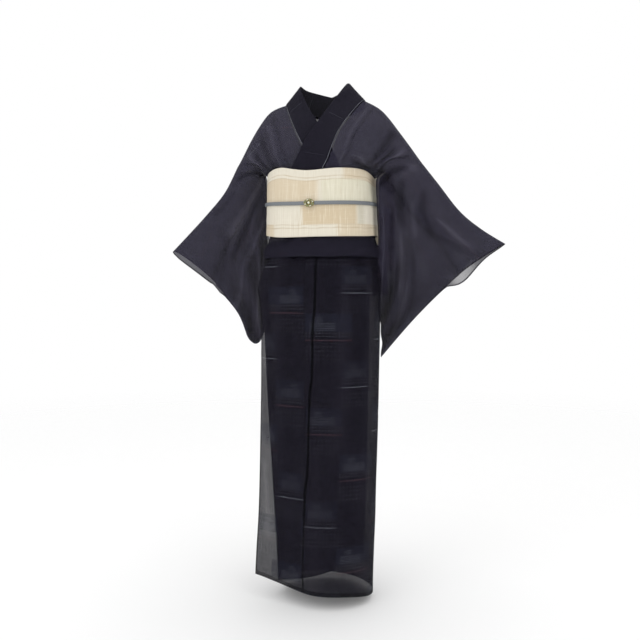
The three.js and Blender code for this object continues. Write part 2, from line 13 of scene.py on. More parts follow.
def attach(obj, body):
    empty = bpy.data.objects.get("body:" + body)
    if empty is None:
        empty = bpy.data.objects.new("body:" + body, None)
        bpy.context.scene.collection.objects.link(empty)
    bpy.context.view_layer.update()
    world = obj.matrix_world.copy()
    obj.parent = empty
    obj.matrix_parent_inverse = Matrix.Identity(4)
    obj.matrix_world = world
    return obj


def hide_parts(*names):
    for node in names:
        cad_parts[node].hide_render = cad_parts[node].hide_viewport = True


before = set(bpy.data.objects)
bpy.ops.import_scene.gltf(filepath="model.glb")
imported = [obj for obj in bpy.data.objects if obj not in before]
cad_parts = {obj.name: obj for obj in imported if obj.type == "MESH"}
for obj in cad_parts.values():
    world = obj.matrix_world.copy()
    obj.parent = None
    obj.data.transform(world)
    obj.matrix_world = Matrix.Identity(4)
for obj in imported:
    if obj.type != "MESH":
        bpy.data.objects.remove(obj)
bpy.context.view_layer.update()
scene = bpy.context.scene

SHOULDER_HEIGHT = 1270.0
LAP = 9.0
CLOTH_M = 0.0008
# Camera: place in metres, then angles in degrees, focal length, width and shift in pixels of the picture
CAMERA_PLACE = (0.4505, -1.7998, -0.500)
CAMERA_PITCH = 1.7
CAMERA_TURN = 14.5
FOCAL_PX = 718
PICTURE_PX = 640
SHIFT_PX = 1.5
FILM_MM = 36.0
# Sizes that the weave and the creases are laid out on, across the cloth and along it
SLEEVE_CUT = (310, 490)
BODICE_CUT = (280, 980)
SKIRT_CREASE_LENGTH = 872
# Depth of a crease that counts as a full hollow
FULL_HOLLOW = 3.5
# Widths of turned edges, and the distance at which edges are joined, in metres
HEM_M = 0.010
NARROW_HEM_M = 0.006
TURNED_EDGE_M = 0.005
JOIN_M = 0.00003


# Tables and curves


def clip(t):
    return min(1.0, max(0.0, t))


def ease(t):
    c = clip(t)
    return c * c * (3 - 2 * c)


def turned(angle):
    """Sine and cosine of an angle in degrees."""
    return math.sin(math.radians(angle)), math.cos(math.radians(angle))


def lerp(a, b, t):
    return a + (b - a) * t


def through(rows, t):
    """Smooth curve through the rows of a table, at t from 0 to the last row."""
    n = len(rows)
    i = min(n - 2, max(0, int(math.floor(t))))
    f = t - i
    a, b, c, d = rows[max(0, i - 1)], rows[i], rows[i + 1], rows[min(n - 1, i + 2)]
    f2, f3 = f * f, f * f * f
    w_start, w_end = 2 * f3 - 3 * f2 + 1, 3 * f2 - 2 * f3
    w_leave, w_reach = f3 - 2 * f2 + f, f3 - f2
    return [
        w_start * q + w_leave * (r - p) / 2 + w_end * r + w_reach * (s - q) / 2
        for p, q, r, s in zip(a, b, c, d)
    ]


def at(table, value):
    """The row of a table at a value of its first column, which rises or falls steadily."""
    sign = 1 if table[1][0] > table[0][0] else -1
    i = 0
    while i < len(table) - 2 and sign * (value - table[i + 1][0]) > 0:
        i += 1
    f = (value - table[i][0]) / (table[i + 1][0] - table[i][0])
    return through(table, i + clip(f))


# Skirt: height, half width, front, back, centre x
SKIRT = [
    (914, 129, 107, 118.4, -6),
    (899, 131, 107, 110, -6),
    (880, 141, 113, 113, -6),
    (850, 149, 120, 119, -6),
    (800, 152, 123, 122, -6),
    (720, 152, 123, 122, -6),
    (600, 149, 121, 120, -5),
    (430, 143, 118, 118, -2),
    (240, 134, 114, 115, 1),
    (40, 125, 110, 112, 3),
]
# Free front edge of the outer overlap: height, edge x, edge y, angle of the seam beside it
FRONT_EDGE = [
    (914, -104, -61, -4),
    (880, -122, -64, -4),
    (852, -140, -62, -5),
    (800, -160, -58, -5),
    (740, -151, -62, -5),
    (600, -149, -66, -5),
    (430, -151, -68, -7),
    (240, -155, -70, -11),
    (60, -165, -70, -15),
]
# Hem: angle round the body, height
OUTER_HEM = [(-75, 62), (-30, 47), (0, 38), (40, 32), (90, 15), (180, 16), (270, 26)]
INNER_HEM = [(-90, 28), (-45, 56), (0, 84), (40, 112), (70, 132)]
SKIRT_TOP = 912.0
SIDE_SEAM = 86.0
OPENING_LAP = 68.0
# Fold of the seam allowance beside the front seam: height, distance from the seam
ALLOWANCE = [
    (912, 28),
    (745, 25),
    (700, 20),
    (580, 17),
    (540, 12),
    (430, 9),
    (340, 8),
    (290, 3),
    (150, 1),
    (30, 2),
]

# Sleeves: top x, y, z, under x, y, z, middle x, y, z, bottom x, y, z, half depths arm, under, low
LEFT_SLEEVE = [
    (249, 0, 1108, 154, -4, 1090, 146, 40, 905, 124, 98, 742, 46, 20, 8),
    (291, -6, 1053, 208, 0, 1003, 172, 48, 862, 129, 101, 706, 44, 18, 9),
    (344, -14, 983, 262, 2, 938, 198, 46, 812, 132, 103, 672, 40, 17, 10),
    (395, -24, 938, 311, 2, 880, 220, 46, 764, 133, 105, 640, 36, 16, 9),
    (452, -34, 900, 343, 0, 826, 236, 50, 728, 130, 106, 612, 33, 14, 7),
]
RIGHT_SLEEVE = [
    (-231, 0, 1112, -160, 0, 1096, -165, 45, 910, -156, 90, 740, 46, 6, 8),
    (-264, -6, 1050, -200, -2, 1012, -183, 40, 862, -172, 88, 708, 42, 16, 9),
    (-309, -14, 997, -238, -4, 942, -207, 37, 816, -193, 86, 672, 40, 17, 10),
    (-356, -24, 947, -273, -5, 874, -232, 34, 774, -216, 82, 645, 36, 16, 9),
    (-405, -34, 896, -302, -6, 806, -253, 30, 738, -239, 68, 674, 33, 14, 7),
]
UNDER_SHARE = 0.3
UNDER_STEP = 7 / 15
CUFF_SHARE = 0.405
SLEEVE_WAVE = 7.0

# Bodice: height, half width, front, back, centre x. The first rows are the waist tuck's inside.
BODICE = [
    (916, 134, 112.5, 112.5, -6),
    (881, 147, 126, 123, -6),
    (873, 150, 129, 126, -6),
    (895, 152, 131, 127, -6),
    (916, 140, 119, 118, -6),
    (960, 135, 114, 113, -6),
    (1010, 134, 113, 112, -6),
    (1046, 133, 112, 111, -6),
    (1068, 132, 112, 110, -6),
]
LEFT_FRONT_EDGE = [-24, -24, -24, -22, -18, -12, -4, 5, 11]
RIGHT_FRONT_EDGE = [34, 34, 34, 32, 29, 22, 12, 6, 2]
# Over the shoulder: edge x, y, z, first x, y, z, second x, y, z, share of the armhole
LEFT_SHOULDER = [
    (28, -112, 1086, 74, -94, 1086, 117, -46, 1088, -1),
    (39, -112, 1106, 84, -102, 1104, 130, -58, 1096, -0.85),
    (48, -110, 1132, 98, -106, 1124, 150, -66, 1106, -0.66),
    (62, -88, 1180, 118, -92, 1168, 176, -62, 1132, -0.4),
    (86, -46, 1232, 140, -56, 1208, 196, -44, 1164, -0.2),
    (104, 0, 1270, 151, 0, 1240, 201, 0, 1176, 0),
    (84, 52, 1262, 138, 46, 1226, 196, 42, 1166, 0.2),
    (1, 96, 1244, 92, 84, 1196, 172, 60, 1136, 0.4),
    (1, 108, 1166, 84, 103, 1140, 146, 62, 1108, 0.66),
    (1, 110, 1112, 78, 98, 1106, 130, 55, 1098, 0.85),
    (1, 110, 1086, 72, 92, 1086, 117, 44, 1088, 1),
]
RIGHT_SHOULDER = [
    (-4, -101, 1086, -74, -87, 1086, -120, -44, 1090, -1),
    (-14, -100, 1108, -82, -97, 1108, -132, -57, 1104, -0.85),
    (-26, -97, 1132, -90, -102, 1128, -143, -66, 1114, -0.66),
    (-52, -84, 1180, -106, -90, 1176, -160, -61, 1142, -0.4),
    (-80, -46, 1232, -130, -54, 1220, -178, -43, 1174, -0.2),
    (-100, 0, 1272, -146, 0, 1253, -193, 0, 1188, 0),
    (-82, 52, 1262, -130, 46, 1236, -180, 42, 1176, 0.2),
    (-1, 96, 1244, -88, 84, 1200, -164, 60, 1144, 0.4),
    (-1, 108, 1166, -80, 103, 1144, -140, 62, 1114, 0.66),
    (-1, 110, 1112, -78, 98, 1108, -132, 55, 1104, 0.85),
    (-1, 110, 1086, -72, 92, 1086, -120, 44, 1090, 1),
]
# Folded edge of the collar: x, y, height
LEFT_FOLD = [
    (-92, -86, 1012),
    (-80, -96, 1046),
    (-66, -103, 1070),
    (-56, -108, 1090),
    (-40, -110, 1118),
    (-22, -106, 1156),
    (9, -91, 1206),
    (37, -52, 1262),
    (61, -10, 1312),
    (54, 46, 1317),
    (0, 86, 1308),
]
RIGHT_FOLD = [
    (88, -66, 1020),
    (80, -74, 1050),
    (72, -81, 1078),
    (60, -92, 1102),
    (47, -92, 1128),
    (32, -90, 1160),
    (2, -80, 1206),
    (-34, -50, 1262),
    (-59, -10, 1313),
    (-54, 46, 1317),
    (0, 86, 1308),
]
COLLAR_START = 6
COLLAR_M = 0.0023

# Sash: angle, top height, bottom height
SASH_EDGES = [
    (-90, 1076, 935),
    (-60, 1089, 928),
    (-35, 1093, 921),
    (-15, 1084, 919),
    (0, 1080, 919),
    (30, 1086, 920),
    (60, 1085, 923),
    (90, 1067, 928),
    (180, 1078, 924),
    (270, 1076, 935),
]
SASH_ACROSS = 145.0
SASH_FRONT = 125.0
SASH_TAPER = 3.0
SASH_CENTRE = -6.0
SASH_M = 0.0028
END_M = 0.0038
# Drum and tail on the back: y, height
DRUM_PATH = [
    (123.2, 1050),
    (123.4, 1084),
    (135, 1111),
    (163, 1122),
    (195, 1114),
    (217, 1088),
    (226, 1040),
    (224, 960),
    (212, 892),
    (191, 854),
    (170, 850),
    (158, 872),
    (156, 930),
]
TAIL_PATH = [(127.9, 946), (128.8, 916), (133, 880), (141, 828), (147, 778)]

CORD_TALL = 9.0
CORD_THICK = 4.0
CORD_OFF = 0.6
CORD_BOW = 1.8
CORD_FRONT_END = 96
SLIDE_X = -5.0
CORD_HEIGHT = 1000.0
CORD_RISE_LEFT = 5.0
CORD_RISE_RIGHT = 12.0
# Cord behind: x, y, share of the rise, from the wearer's side to the centre of the drum
CORD_BACK = [
    (147, 56, 0.85),
    (155, 110, 0.5),
    (161, 150, 0.2),
    (163.4, 168, 0.1),
    (163.2, 173.5, 0.1),
    (160.5, 177.6, 0.05),
    (151, 178, 0),
    (118, 180.6, 0),
    (60, 183.8, 0),
]


def add_object(name, data):
    obj = bpy.data.objects.new(name, data)
    scene.collection.objects.link(obj)
    return obj


# Camera


def build_camera():
    pitch, turn = math.radians(CAMERA_PITCH), math.radians(CAMERA_TURN)
    level = math.cos(pitch)
    look = Vector((-math.sin(turn) * level, math.cos(turn) * level, -math.sin(pitch)))
    data = bpy.data.cameras.new("camera")
    data.sensor_width = FILM_MM
    data.lens = FILM_MM * FOCAL_PX / PICTURE_PX
    data.shift_x = SHIFT_PX / PICTURE_PX
    obj = add_object("camera", data)
    obj.location = CAMERA_PLACE
    obj.rotation_euler = look.to_track_quat("-Z", "Y").to_euler()
    scene.camera = obj


# Nodes of materials


class Nodes:
    """Adds nodes to one tree and joins them."""

    def __init__(self, tree):
        self.tree = tree

    def join(self, value, socket):
        if isinstance(value, bpy.types.NodeSocket):
            self.tree.links.new(value, socket)
        elif value is not None:
            socket.default_value = value

    def add(self, kind, *values, **settings):
        node = self.tree.nodes.new(kind)
        for key, value in settings.items():
            setattr(node, key, value)
        for value, socket in zip(values, node.inputs):
            self.join(value, socket)
        return node

    def math(self, operation, a, b=None, c=None, clamp=False):
        return self.add("ShaderNodeMath", a, b, c, operation=operation, use_clamp=clamp).outputs[0]

    def times(self, a, b):
        return self.math("MULTIPLY", a, b)

    def plus(self, a, b, clamp=False):
        return self.math("ADD", a, b, clamp=clamp)

    def minus(self, a, b):
        return self.math("SUBTRACT", a, b)

    def scaled(self, a, factor, more):
        return self.math("MULTIPLY_ADD", a, factor, more)

    def larger(self, a, b):
        return self.math("MAXIMUM", a, b)

    def between(self, x, low, high):
        return self.times(self.math("GREATER_THAN", x, low), self.math("LESS_THAN", x, high))

    def wrap(self, x, period):
        return self.math("WRAP", x, period, 0.0)

    def map(self, x, a, b, c=0.0, d=1.0):
        node = self.add("ShaderNodeMapRange", x, a, b, c, d, clamp=True)
        return node.outputs[0]

    def mix(self, factor, a, b):
        node = self.add("ShaderNodeMix", data_type="RGBA")
        self.join(factor, node.inputs[0])
        self.join(a, node.inputs[6])
        self.join(b, node.inputs[7])
        return node.outputs[2]

    def noise(self, vector, detail=2.0, roughness=0.5):
        node = self.add("ShaderNodeTexNoise", noise_dimensions="3D")
        self.join(vector, node.inputs["Vector"])
        node.inputs["Scale"].default_value = 1.0
        node.inputs["Detail"].default_value = detail
        node.inputs["Roughness"].default_value = roughness
        return node.outputs["Fac"]

    def stretched(self, vector, x, y, z=1.0):
        return self.add("ShaderNodeVectorMath", vector, (x, y, z), operation="MULTIPLY").outputs[0]

    def vector(self, x, y, z=0.0):
        return self.add("ShaderNodeCombineXYZ", x, y, z).outputs[0]


def new_group(name, inputs, outputs):
    tree = bpy.data.node_groups.new(name, "ShaderNodeTree")
    for label in inputs:
        tree.interface.new_socket(label, in_out="INPUT", socket_type="NodeSocketFloat")
    for label in outputs:
        tree.interface.new_socket(label, in_out="OUTPUT", socket_type="NodeSocketFloat")
    n = Nodes(tree)
    return n, n.add("NodeGroupInput").outputs, n.add("NodeGroupOutput").inputs


# Woven figure: its repeat, then where each of its parts lies along it, in metres on the cut
FIGURE_ALONG = 0.23
FIGURE_ACROSS = 0.195
DASH_ROWS = (0.0, 0.0018)
BLOCK_ROWS = (0.022, 0.066)
BAR_ROWS = (0.0252, 0.0462)
BAR_COLUMNS = (0.012, 0.074)
# Dots: spacing across and along, radius, rows, columns, strength
DOTS = [
    (0.0098, 0.0100, 0.0015, (0.176, 0.2245), (0.0, 1.0), 0.26),
    (0.0080, 0.0074, 0.0014, (0.005, 0.0215), (0.0, 1.0), 0.36),
    (0.0034, 0.0034, 0.0009, (0.0462, 0.0588), (0.024, 0.044), 0.34),
]
# How far the second column of the figure is moved across
SECOND_COLUMN = 0.108


def figure_group():
    """One column of the woven figure: a thin dash with dots over it, and dots, bars and a block under it."""
    n, given, out = new_group("woven figure", ["Across", "Along", "Seed"], ["Thread", "Red", "Block"])
    across, along, seed = given[0], given[1], given[2]
    x = n.wrap(across, FIGURE_ACROSS)
    y = n.wrap(along, FIGURE_ALONG)
    cell = n.vector(
        n.math("FLOOR", n.math("DIVIDE", across, FIGURE_ACROSS)),
        n.math("FLOOR", n.math("DIVIDE", along, FIGURE_ALONG)),
        seed,
    )
    chance = n.add("ShaderNodeTexWhiteNoise", noise_dimensions="3D")
    n.join(cell, chance.inputs["Vector"])
    luck = chance.outputs["Value"]
    split = n.add("ShaderNodeSeparateColor", chance.outputs["Color"])
    length = n.scaled(split.outputs[0], 0.042, 0.08)
    inside = n.times(n.math("GREATER_THAN", x, 0.002), n.math("LESS_THAN", x, length))
    frayed = n.noise(n.vector(n.times(x, 900.0), n.times(y, 500.0), seed), 1.0)
    dash = n.times(n.between(y, *DASH_ROWS), n.map(frayed, 0.34, 0.55, 0.30, 0.62))
    dash = n.times(dash, inside)
    bars = n.times(n.math("LESS_THAN", n.wrap(y, 0.0042), 0.0011), n.between(y, *BAR_ROWS))
    fine = n.times(n.times(bars, n.between(x, *BAR_COLUMNS)), 0.30)
    for pitch_x, pitch_y, radius, rows, columns, strength in DOTS:
        dx = n.minus(n.wrap(x, pitch_x), pitch_x / 2)
        dy = n.minus(n.wrap(y, pitch_y), pitch_y / 2)
        far = n.plus(n.times(dx, dx), n.times(dy, dy))
        dot = n.times(n.math("LESS_THAN", far, radius * radius), n.between(y, *rows))
        fine = n.scaled(n.times(dot, n.between(x, *columns)), strength, fine)
    fine = n.times(n.times(fine, inside), n.scaled(luck, 0.4, 0.6))
    shade = n.times(inside, n.map(luck, 0.0, 1.0, 0.45, 1.0))
    n.join(n.plus(dash, fine), out[0])
    n.join(n.times(n.math("GREATER_THAN", split.outputs[1], 0.64), dash), out[1])
    n.join(n.times(n.between(y, *BLOCK_ROWS), shade), out[2])
    return n.tree


def slub_group():
    """Uneven hand-spun threads both ways, and the height they give the cloth."""
    n, given, out = new_group("slub threads", ["Across", "Along"], ["Slub", "Height"])
    vector = n.vector(given[0], given[1], 0.0)
    weft = n.noise(n.stretched(vector, 34.0, 460.0), 3.0, 0.6)
    warp = n.noise(n.stretched(vector, 460.0, 26.0), 3.0, 0.6)
    n.join(n.scaled(weft, 0.6, n.times(warp, 0.4)), out[0])
    n.join(n.plus(weft, warp), out[1])
    return n.tree


FIGURE = figure_group()
SLUB = slub_group()


def group_node(n, tree, *values):
    node = n.add("ShaderNodeGroup", node_tree=tree)
    for value, socket in zip(values, node.inputs):
        n.join(value, socket)
    return node


def new_material(name):
    material = bpy.data.materials.new(name)
    material.use_nodes = True
    n = Nodes(material.node_tree)
    shader = next(node for node in n.tree.nodes if node.type == "BSDF_PRINCIPLED")
    return material, n, shader


def cut_place(n):
    """The two coordinates on the cut cloth, in metres, from the piece's own UV map."""
    cut = n.add("ShaderNodeSeparateXYZ", n.add("ShaderNodeUVMap", uv_map="cut").outputs[0])
    return cut.outputs[0], cut.outputs[1]


def gloss(shader, roughness, specular):
    shader.inputs["Roughness"].default_value = roughness
    shader.inputs["Specular IOR Level"].default_value = specular


def bump(n, shader, height, strength, distance):
    node = n.add("ShaderNodeBump")
    node.inputs["Strength"].default_value = strength
    node.inputs["Distance"].default_value = distance
    n.join(height, node.inputs["Height"])
    n.join(node.outputs[0], shader.inputs["Normal"])


# Colours of the kimono's cloth, thin and thick threads first
THIN_CLOTH = (0.0055, 0.0050, 0.0088)
THICK_CLOTH = (0.0160, 0.0148, 0.0238)
# painted highlight for the ridges of creases, and below it painted shade for their hollows
RIDGE_PAINTED_HIGHLIGHT = (0.030, 0.028, 0.042)
HOLLOW_PAINTED_SHADE = (0.0014, 0.0013, 0.0024, 1)
BLOCK_CLOTH = (0.022, 0.025, 0.042, 1)
# painted shade for the waist tuck
TUCK_PAINTED_SHADE = (0.0045, 0.0042, 0.0070, 1)
TURNED_CLOTH = (0.0008, 0.0008, 0.0014, 1)
GREY_THREAD = (0.24, 0.25, 0.29, 1)
RED_THREAD = (0.150, 0.082, 0.100, 1)
FOLD_LINE_M = 0.0030


def brighter(tint, light):
    return tuple(c * light for c in tint) + (1,)


def cloth_material(name, shift, single=0.905, figured=1.0, light=1.0, painted_crease_shading=0.45, tuck=0.0):
    """Sheer navy cloth. Its threads and figure follow the cut, and it closes up where it lies double.

    shift moves the figure, single is the opacity of one cloth, figured the strength of the figure,
    light how much lighter its ground is painted, as painted light, painted_crease_shading the strength
    of the painted shade in crease hollows and the painted highlight on crease ridges, and tuck how much
    darker the waist tuck is painted, as painted shade.
    """
    material, n, shader = new_material("kimono cloth, " + name)
    cut_across, cut_along = cut_place(n)
    across = n.plus(cut_across, shift[0])
    along = n.plus(cut_along, shift[1])
    slub = group_node(n, SLUB, across, along)
    first = group_node(n, FIGURE, across, along, 1.0)
    second = group_node(n, FIGURE, n.plus(across, SECOND_COLUMN), n.plus(along, FIGURE_ALONG / 2), 2.0)
    thread = n.times(n.plus(first.outputs[0], second.outputs[0], clamp=True), figured)
    red = n.plus(first.outputs[1], second.outputs[1], clamp=True)
    block = n.times(n.plus(first.outputs[2], second.outputs[2], clamp=True), figured)
    edge, fold, dip = (
        n.add("ShaderNodeAttribute", attribute_name=layer).outputs["Fac"] for layer in ("edge", "fold", "dip")
    )
    hem = n.math("LESS_THAN", edge, 0.0)
    crease = n.math("LESS_THAN", n.math("ABSOLUTE", fold), FOLD_LINE_M)
    allowance = n.math("LESS_THAN", fold, 0.0)

    thick = n.map(slub.outputs[0], 0.3, 0.7)
    # painted light: light raises the ground of the better lit pieces, the sleeves and the bodice
    ground = n.mix(thick, brighter(THIN_CLOTH, light), brighter(THICK_CLOTH, light))
    ground = n.mix(n.times(block, 0.34), ground, BLOCK_CLOTH)
    # painted shade in the hollows of the creases and painted highlight on their ridges, after the depth of
    # each point
    ground = n.mix(n.map(dip, 0.05, 0.9, 0.0, 0.62 * painted_crease_shading), ground, HOLLOW_PAINTED_SHADE)
    ground = n.mix(n.map(dip, -0.05, -0.9, 0.0, 0.75 * painted_crease_shading), ground, brighter(RIDGE_PAINTED_HIGHLIGHT, light))
    # painted shade: the front of the bodice, from the waist tuck up under the sash, is painted darker
    if tuck:
        ground = n.mix(n.map(cut_along, 0.25, 0.15, 0.0, tuck), ground, TUCK_PAINTED_SHADE)
    colour = n.mix(n.times(thread, 0.8), ground, n.mix(n.map(red, 0.0, 0.4), GREY_THREAD, RED_THREAD))
    turned_in = n.times(n.larger(n.times(hem, 0.6), crease), 0.85)
    n.join(n.mix(turned_in, colour, TURNED_CLOTH), shader.inputs["Base Color"])

    opaque = n.scaled(n.minus(slub.outputs[0], 0.5), 0.22, single)
    opaque = n.scaled(block, 0.03, opaque)
    opaque = n.scaled(dip, 0.05, opaque)
    # the loose back of a cuff is stretched thin, which its strong ridge marks
    opaque = n.minus(opaque, n.map(dip, -1.2, -3.0, 0.0, 0.11))
    closed = n.larger(n.larger(n.times(hem, 0.95), n.times(crease, 0.97)), n.times(allowance, 0.93))
    opaque = n.math("MINIMUM", n.larger(opaque, closed), 0.985)
    # two faces, one behind the other, give the wall the opacity of one cloth
    n.join(n.minus(1.0, n.math("SQRT", n.minus(1.0, opaque))), shader.inputs["Alpha"])
    gloss(shader, 0.82, 0.06)
    bump(n, shader, slub.outputs[1], 0.35, 0.0004)
    return material


def collar_material():
    """The same cloth folded double, with the pale stitches of its seam."""
    material, n, shader = new_material("collar cloth")
    across, along = cut_place(n)
    slub = group_node(n, SLUB, across, along)
    ground = n.mix(n.map(slub.outputs[0], 0.3, 0.7), (0.0085, 0.0078, 0.0130, 1), (0.0180, 0.0165, 0.0260, 1))
    uneven = n.noise(n.vector(n.times(across, 300.0), n.times(along, 120.0)), 1.0)
    stitches = n.times(n.between(across, 0.0006, 0.0016), n.map(uneven, 0.3, 0.6, 0.45, 1.0))
    tick = n.math("LESS_THAN", n.wrap(along, 0.118), 0.0014)
    tick = n.times(n.times(tick, 0.05), n.between(across, 0.008, 0.046))
    pale = n.larger(n.times(stitches, 0.8), tick)
    n.join(n.mix(pale, ground, (0.27, 0.28, 0.32, 1)), shader.inputs["Base Color"])
    shader.inputs["Alpha"].default_value = 0.93
    gloss(shader, 0.8, 0.06)
    bump(n, shader, slub.outputs[1], 0.35, 0.0004)
    return material


SASH_REPEAT = 0.425
CREAM = (0.715, 0.668, 0.560, 1)
PALE_THREAD = (0.86, 0.81, 0.69, 1)
# Fields of the sash: start and end along the repeat, whether in the upper half, soft end, colour
SASH_FIELDS = [
    (-0.01, 0.224, True, 0.014, (0.650, 0.553, 0.405, 1)),
    (0.236, 0.430, True, 0.006, (0.690, 0.655, 0.520, 1)),
    (0.189, 0.323, False, 0.010, (0.620, 0.512, 0.355, 1)),
    (0.325, 0.345, False, 0.010, (0.600, 0.560, 0.455, 1)),
]
# Tan stretches in its two borders: start and end along the repeat, whether in the upper border
SASH_BORDERS = [(0.288, 0.43, True), (0.275, 0.43, False), (-0.01, 0.105, False)]
# Tan bars: place across, half width, strength
SASH_BARS = [
    (0.0205, 0.0018, 0.42),
    (0.0280, 0.0016, 0.30),
    (0.1400, 0.0018, 0.42),
    (0.1325, 0.0016, 0.34),
]


def sash_material():
    """Cream hand-spun weave in large fields, with tan bars along both edges."""
    material, n, shader = new_material("sash weave")
    along, across = cut_place(n)
    cells = n.vector(along, across, 0.0)
    weft = n.noise(n.stretched(cells, 330.0, 14.0), 3.0, 0.65)
    warp = n.noise(n.stretched(cells, 16.0, 360.0), 3.0, 0.65)
    turn = n.wrap(n.plus(along, n.times(n.minus(weft, 0.5), 0.030)), SASH_REPEAT)
    upper = n.map(across, 0.0785, 0.0815)

    def field(start, end, upper_half, soft_end=0.010):
        inside = n.times(n.map(turn, start, start + 0.010), n.map(turn, end, end + soft_end, 1.0, 0.0))
        half = upper if upper_half else n.minus(1.0, upper)
        return n.times(inside, half)

    middle = n.times(n.map(across, 0.028, 0.030), n.map(across, 0.132, 0.134, 1.0, 0.0))
    colour = CREAM
    for start, end, upper_half, soft_end, tint in SASH_FIELDS:
        colour = n.mix(n.times(field(start, end, upper_half, soft_end), middle), colour, tint)
    tan = None
    for place in SASH_BORDERS:
        tan = field(*place) if tan is None else n.larger(tan, field(*place))
    tan = n.times(n.minus(1.0, middle), tan)
    colour = n.mix(n.times(tan, 0.8), colour, (0.635, 0.535, 0.385, 1))
    colour = n.mix(n.times(n.map(weft, 0.54, 0.70), 0.30), colour, (0.50, 0.39, 0.25, 1))
    colour = n.mix(n.times(n.map(weft, 0.46, 0.30), 0.55), colour, PALE_THREAD)
    colour = n.mix(n.times(n.map(warp, 0.55, 0.72), 0.22), colour, (0.86, 0.82, 0.72, 1))

    drift = n.noise(n.stretched(cells, 16.0, 4.0))
    wander = n.scaled(n.minus(drift, 0.5), 0.009, across)
    faded = n.map(n.noise(n.stretched(cells, 30.0, 200.0)), 0.35, 0.6, 0.35, 1.0)
    bars = None
    for place, wide, strength in SASH_BARS:
        near = n.math("ABSOLUTE", n.minus(wander, place))
        bar = n.times(n.times(n.map(near, wide * 0.5, wide, 1.0, 0.0), strength), faded)
        bars = bar if bars is None else n.larger(bars, bar)
    n.join(n.mix(bars, colour, (0.42, 0.305, 0.170, 1)), shader.inputs["Base Color"])
    n.join(n.map(weft, 0.2, 0.8, 0.68, 0.86), shader.inputs["Roughness"])
    shader.inputs["Specular IOR Level"].default_value = 0.25
    bump(n, shader, n.scaled(weft, 0.5, warp), 0.5, 0.0006)
    return material


BRAID_ROUND = 0.026
PLAIT = 0.0034


def cord_material():
    """Flat grey silk braid: two rows of slanting plaits on each side."""
    material, n, shader = new_material("cord braid")
    along, round_it = cut_place(n)
    middle = n.math("ABSOLUTE", n.minus(n.wrap(round_it, BRAID_ROUND / 2), BRAID_ROUND / 4))
    slant = n.wrap(n.plus(along, n.times(middle, 0.8)), PLAIT)
    ridge = n.math("SINE", n.times(slant, math.pi / PLAIT))
    hair = n.noise(n.vector(n.times(along, 700.0), n.times(round_it, 900.0)))
    # painted shade: the braid is dark between its plaits and light on their tops
    colour = n.mix(ridge, (0.082, 0.090, 0.100, 1), (0.215, 0.232, 0.250, 1))
    # painted shade along the groove between the two rows of plaits
    colour = n.mix(n.times(n.map(middle, 0.0, 0.0009, 1.0, 0.0), 0.6), colour, (0.09, 0.095, 0.11, 1))
    n.join(n.mix(n.times(hair, 0.3), colour, (0.27, 0.285, 0.30, 1)), shader.inputs["Base Color"])
    gloss(shader, 0.55, 0.35)
    bump(n, shader, ridge, 0.6, 0.0005)
    return material


def metal_material():
    """Aged gilt brass, darker and greener in patches."""
    material, n, shader = new_material("aged gilt")
    place = n.add("ShaderNodeTexCoord").outputs["Object"]
    patch = n.noise(n.stretched(place, 300.0, 300.0, 300.0), 3.0)
    gilt = n.mix(n.map(patch, 0.35, 0.65), (0.17, 0.165, 0.070, 1), (0.52, 0.45, 0.20, 1))
    n.join(gilt, shader.inputs["Base Color"])
    n.join(n.map(patch, 0.3, 0.7, 0.5, 0.26), shader.inputs["Roughness"])
    shader.inputs["Metallic"].default_value = 1.0
    bump(n, shader, patch, 0.3, 0.0003)
    return material


def stone_material(name, colour):
    material, n, shader = new_material(name)
    place = n.add("ShaderNodeTexCoord").outputs["Object"]
    cloud = n.noise(n.stretched(place, 500.0, 500.0, 500.0))
    n.join(n.mix(cloud, brighter(colour, 0.72), brighter(colour, 1.0)), shader.inputs["Base Color"])
    shader.inputs["Roughness"].default_value = 0.12
    shader.inputs["Coat Weight"].default_value = 0.6
    return material


# Meshes


def in_frame(p):
    """A point of the tables in the metres of the frame."""
    return Vector((p[0], p[1], p[2] - SHOULDER_HEIGHT)) / 1000


def grid_of(columns, rows, place, cut, extra=None):
    """A grid of faces, u across and v along, moved to place(u, v), with its cut in metres as UV."""
    bm = bmesh.new()
    bmesh.ops.create_grid(bm, x_segments=columns, y_segments=rows, size=0.5)
    uv = bm.loops.layers.uv.new("cut")
    edge = bm.verts.layers.float.new("edge")
    fold = bm.verts.layers.float.new("fold")
    bm.verts.layers.float.new("dip")
    share = {vert: (vert.co.x + 0.5, 0.5 - vert.co.y) for vert in bm.verts}
    for face in bm.faces:
        for loop in face.loops:
            loop[uv].uv = cut(*share[loop.vert])
    for vert, (u, v) in share.items():
        vert.co = in_frame(place(u, v))
        vert[edge], vert[fold] = extra(u, v) if extra else (1.0, 1.0)
    return bm, share


def face_outward(bm, inside):
    """Turns all faces if most of them look toward inside(point)."""
    bm.normal_update()
    total = 0.0
    for face in bm.faces:
        centre = face.calc_center_median()
        total += face.normal.dot(centre - inside(centre)) * face.calc_area()
    if total < 0:
        bmesh.ops.reverse_faces(bm, faces=bm.faces[:])
    bm.normal_update()


def axis_point(p):
    return Vector((SASH_CENTRE / 1000, 0.0, p.z))


def crease_height(creases, x, y):
    """Height at x, y of the soft ridges and troughs in a table, all in mm on the cut."""
    total = 0.0
    for x0, y0, x1, y1, width, height in creases:
        dx, dy = x1 - x0, y1 - y0
        size = dx * dx + dy * dy
        t = ((x - x0) * dx + (y - y0) * dy) / size
        c = clip(t)
        off = math.hypot(x - x0 - c * dx, y - y0 - c * dy)
        wide = width * (0.55 + 0.9 * c)
        ends = ease(t / 0.18 + 0.5) * ease((1 - t) / 0.25 + 0.5)
        total += height * math.exp(-((off / wide) ** 2)) * ends
    return total


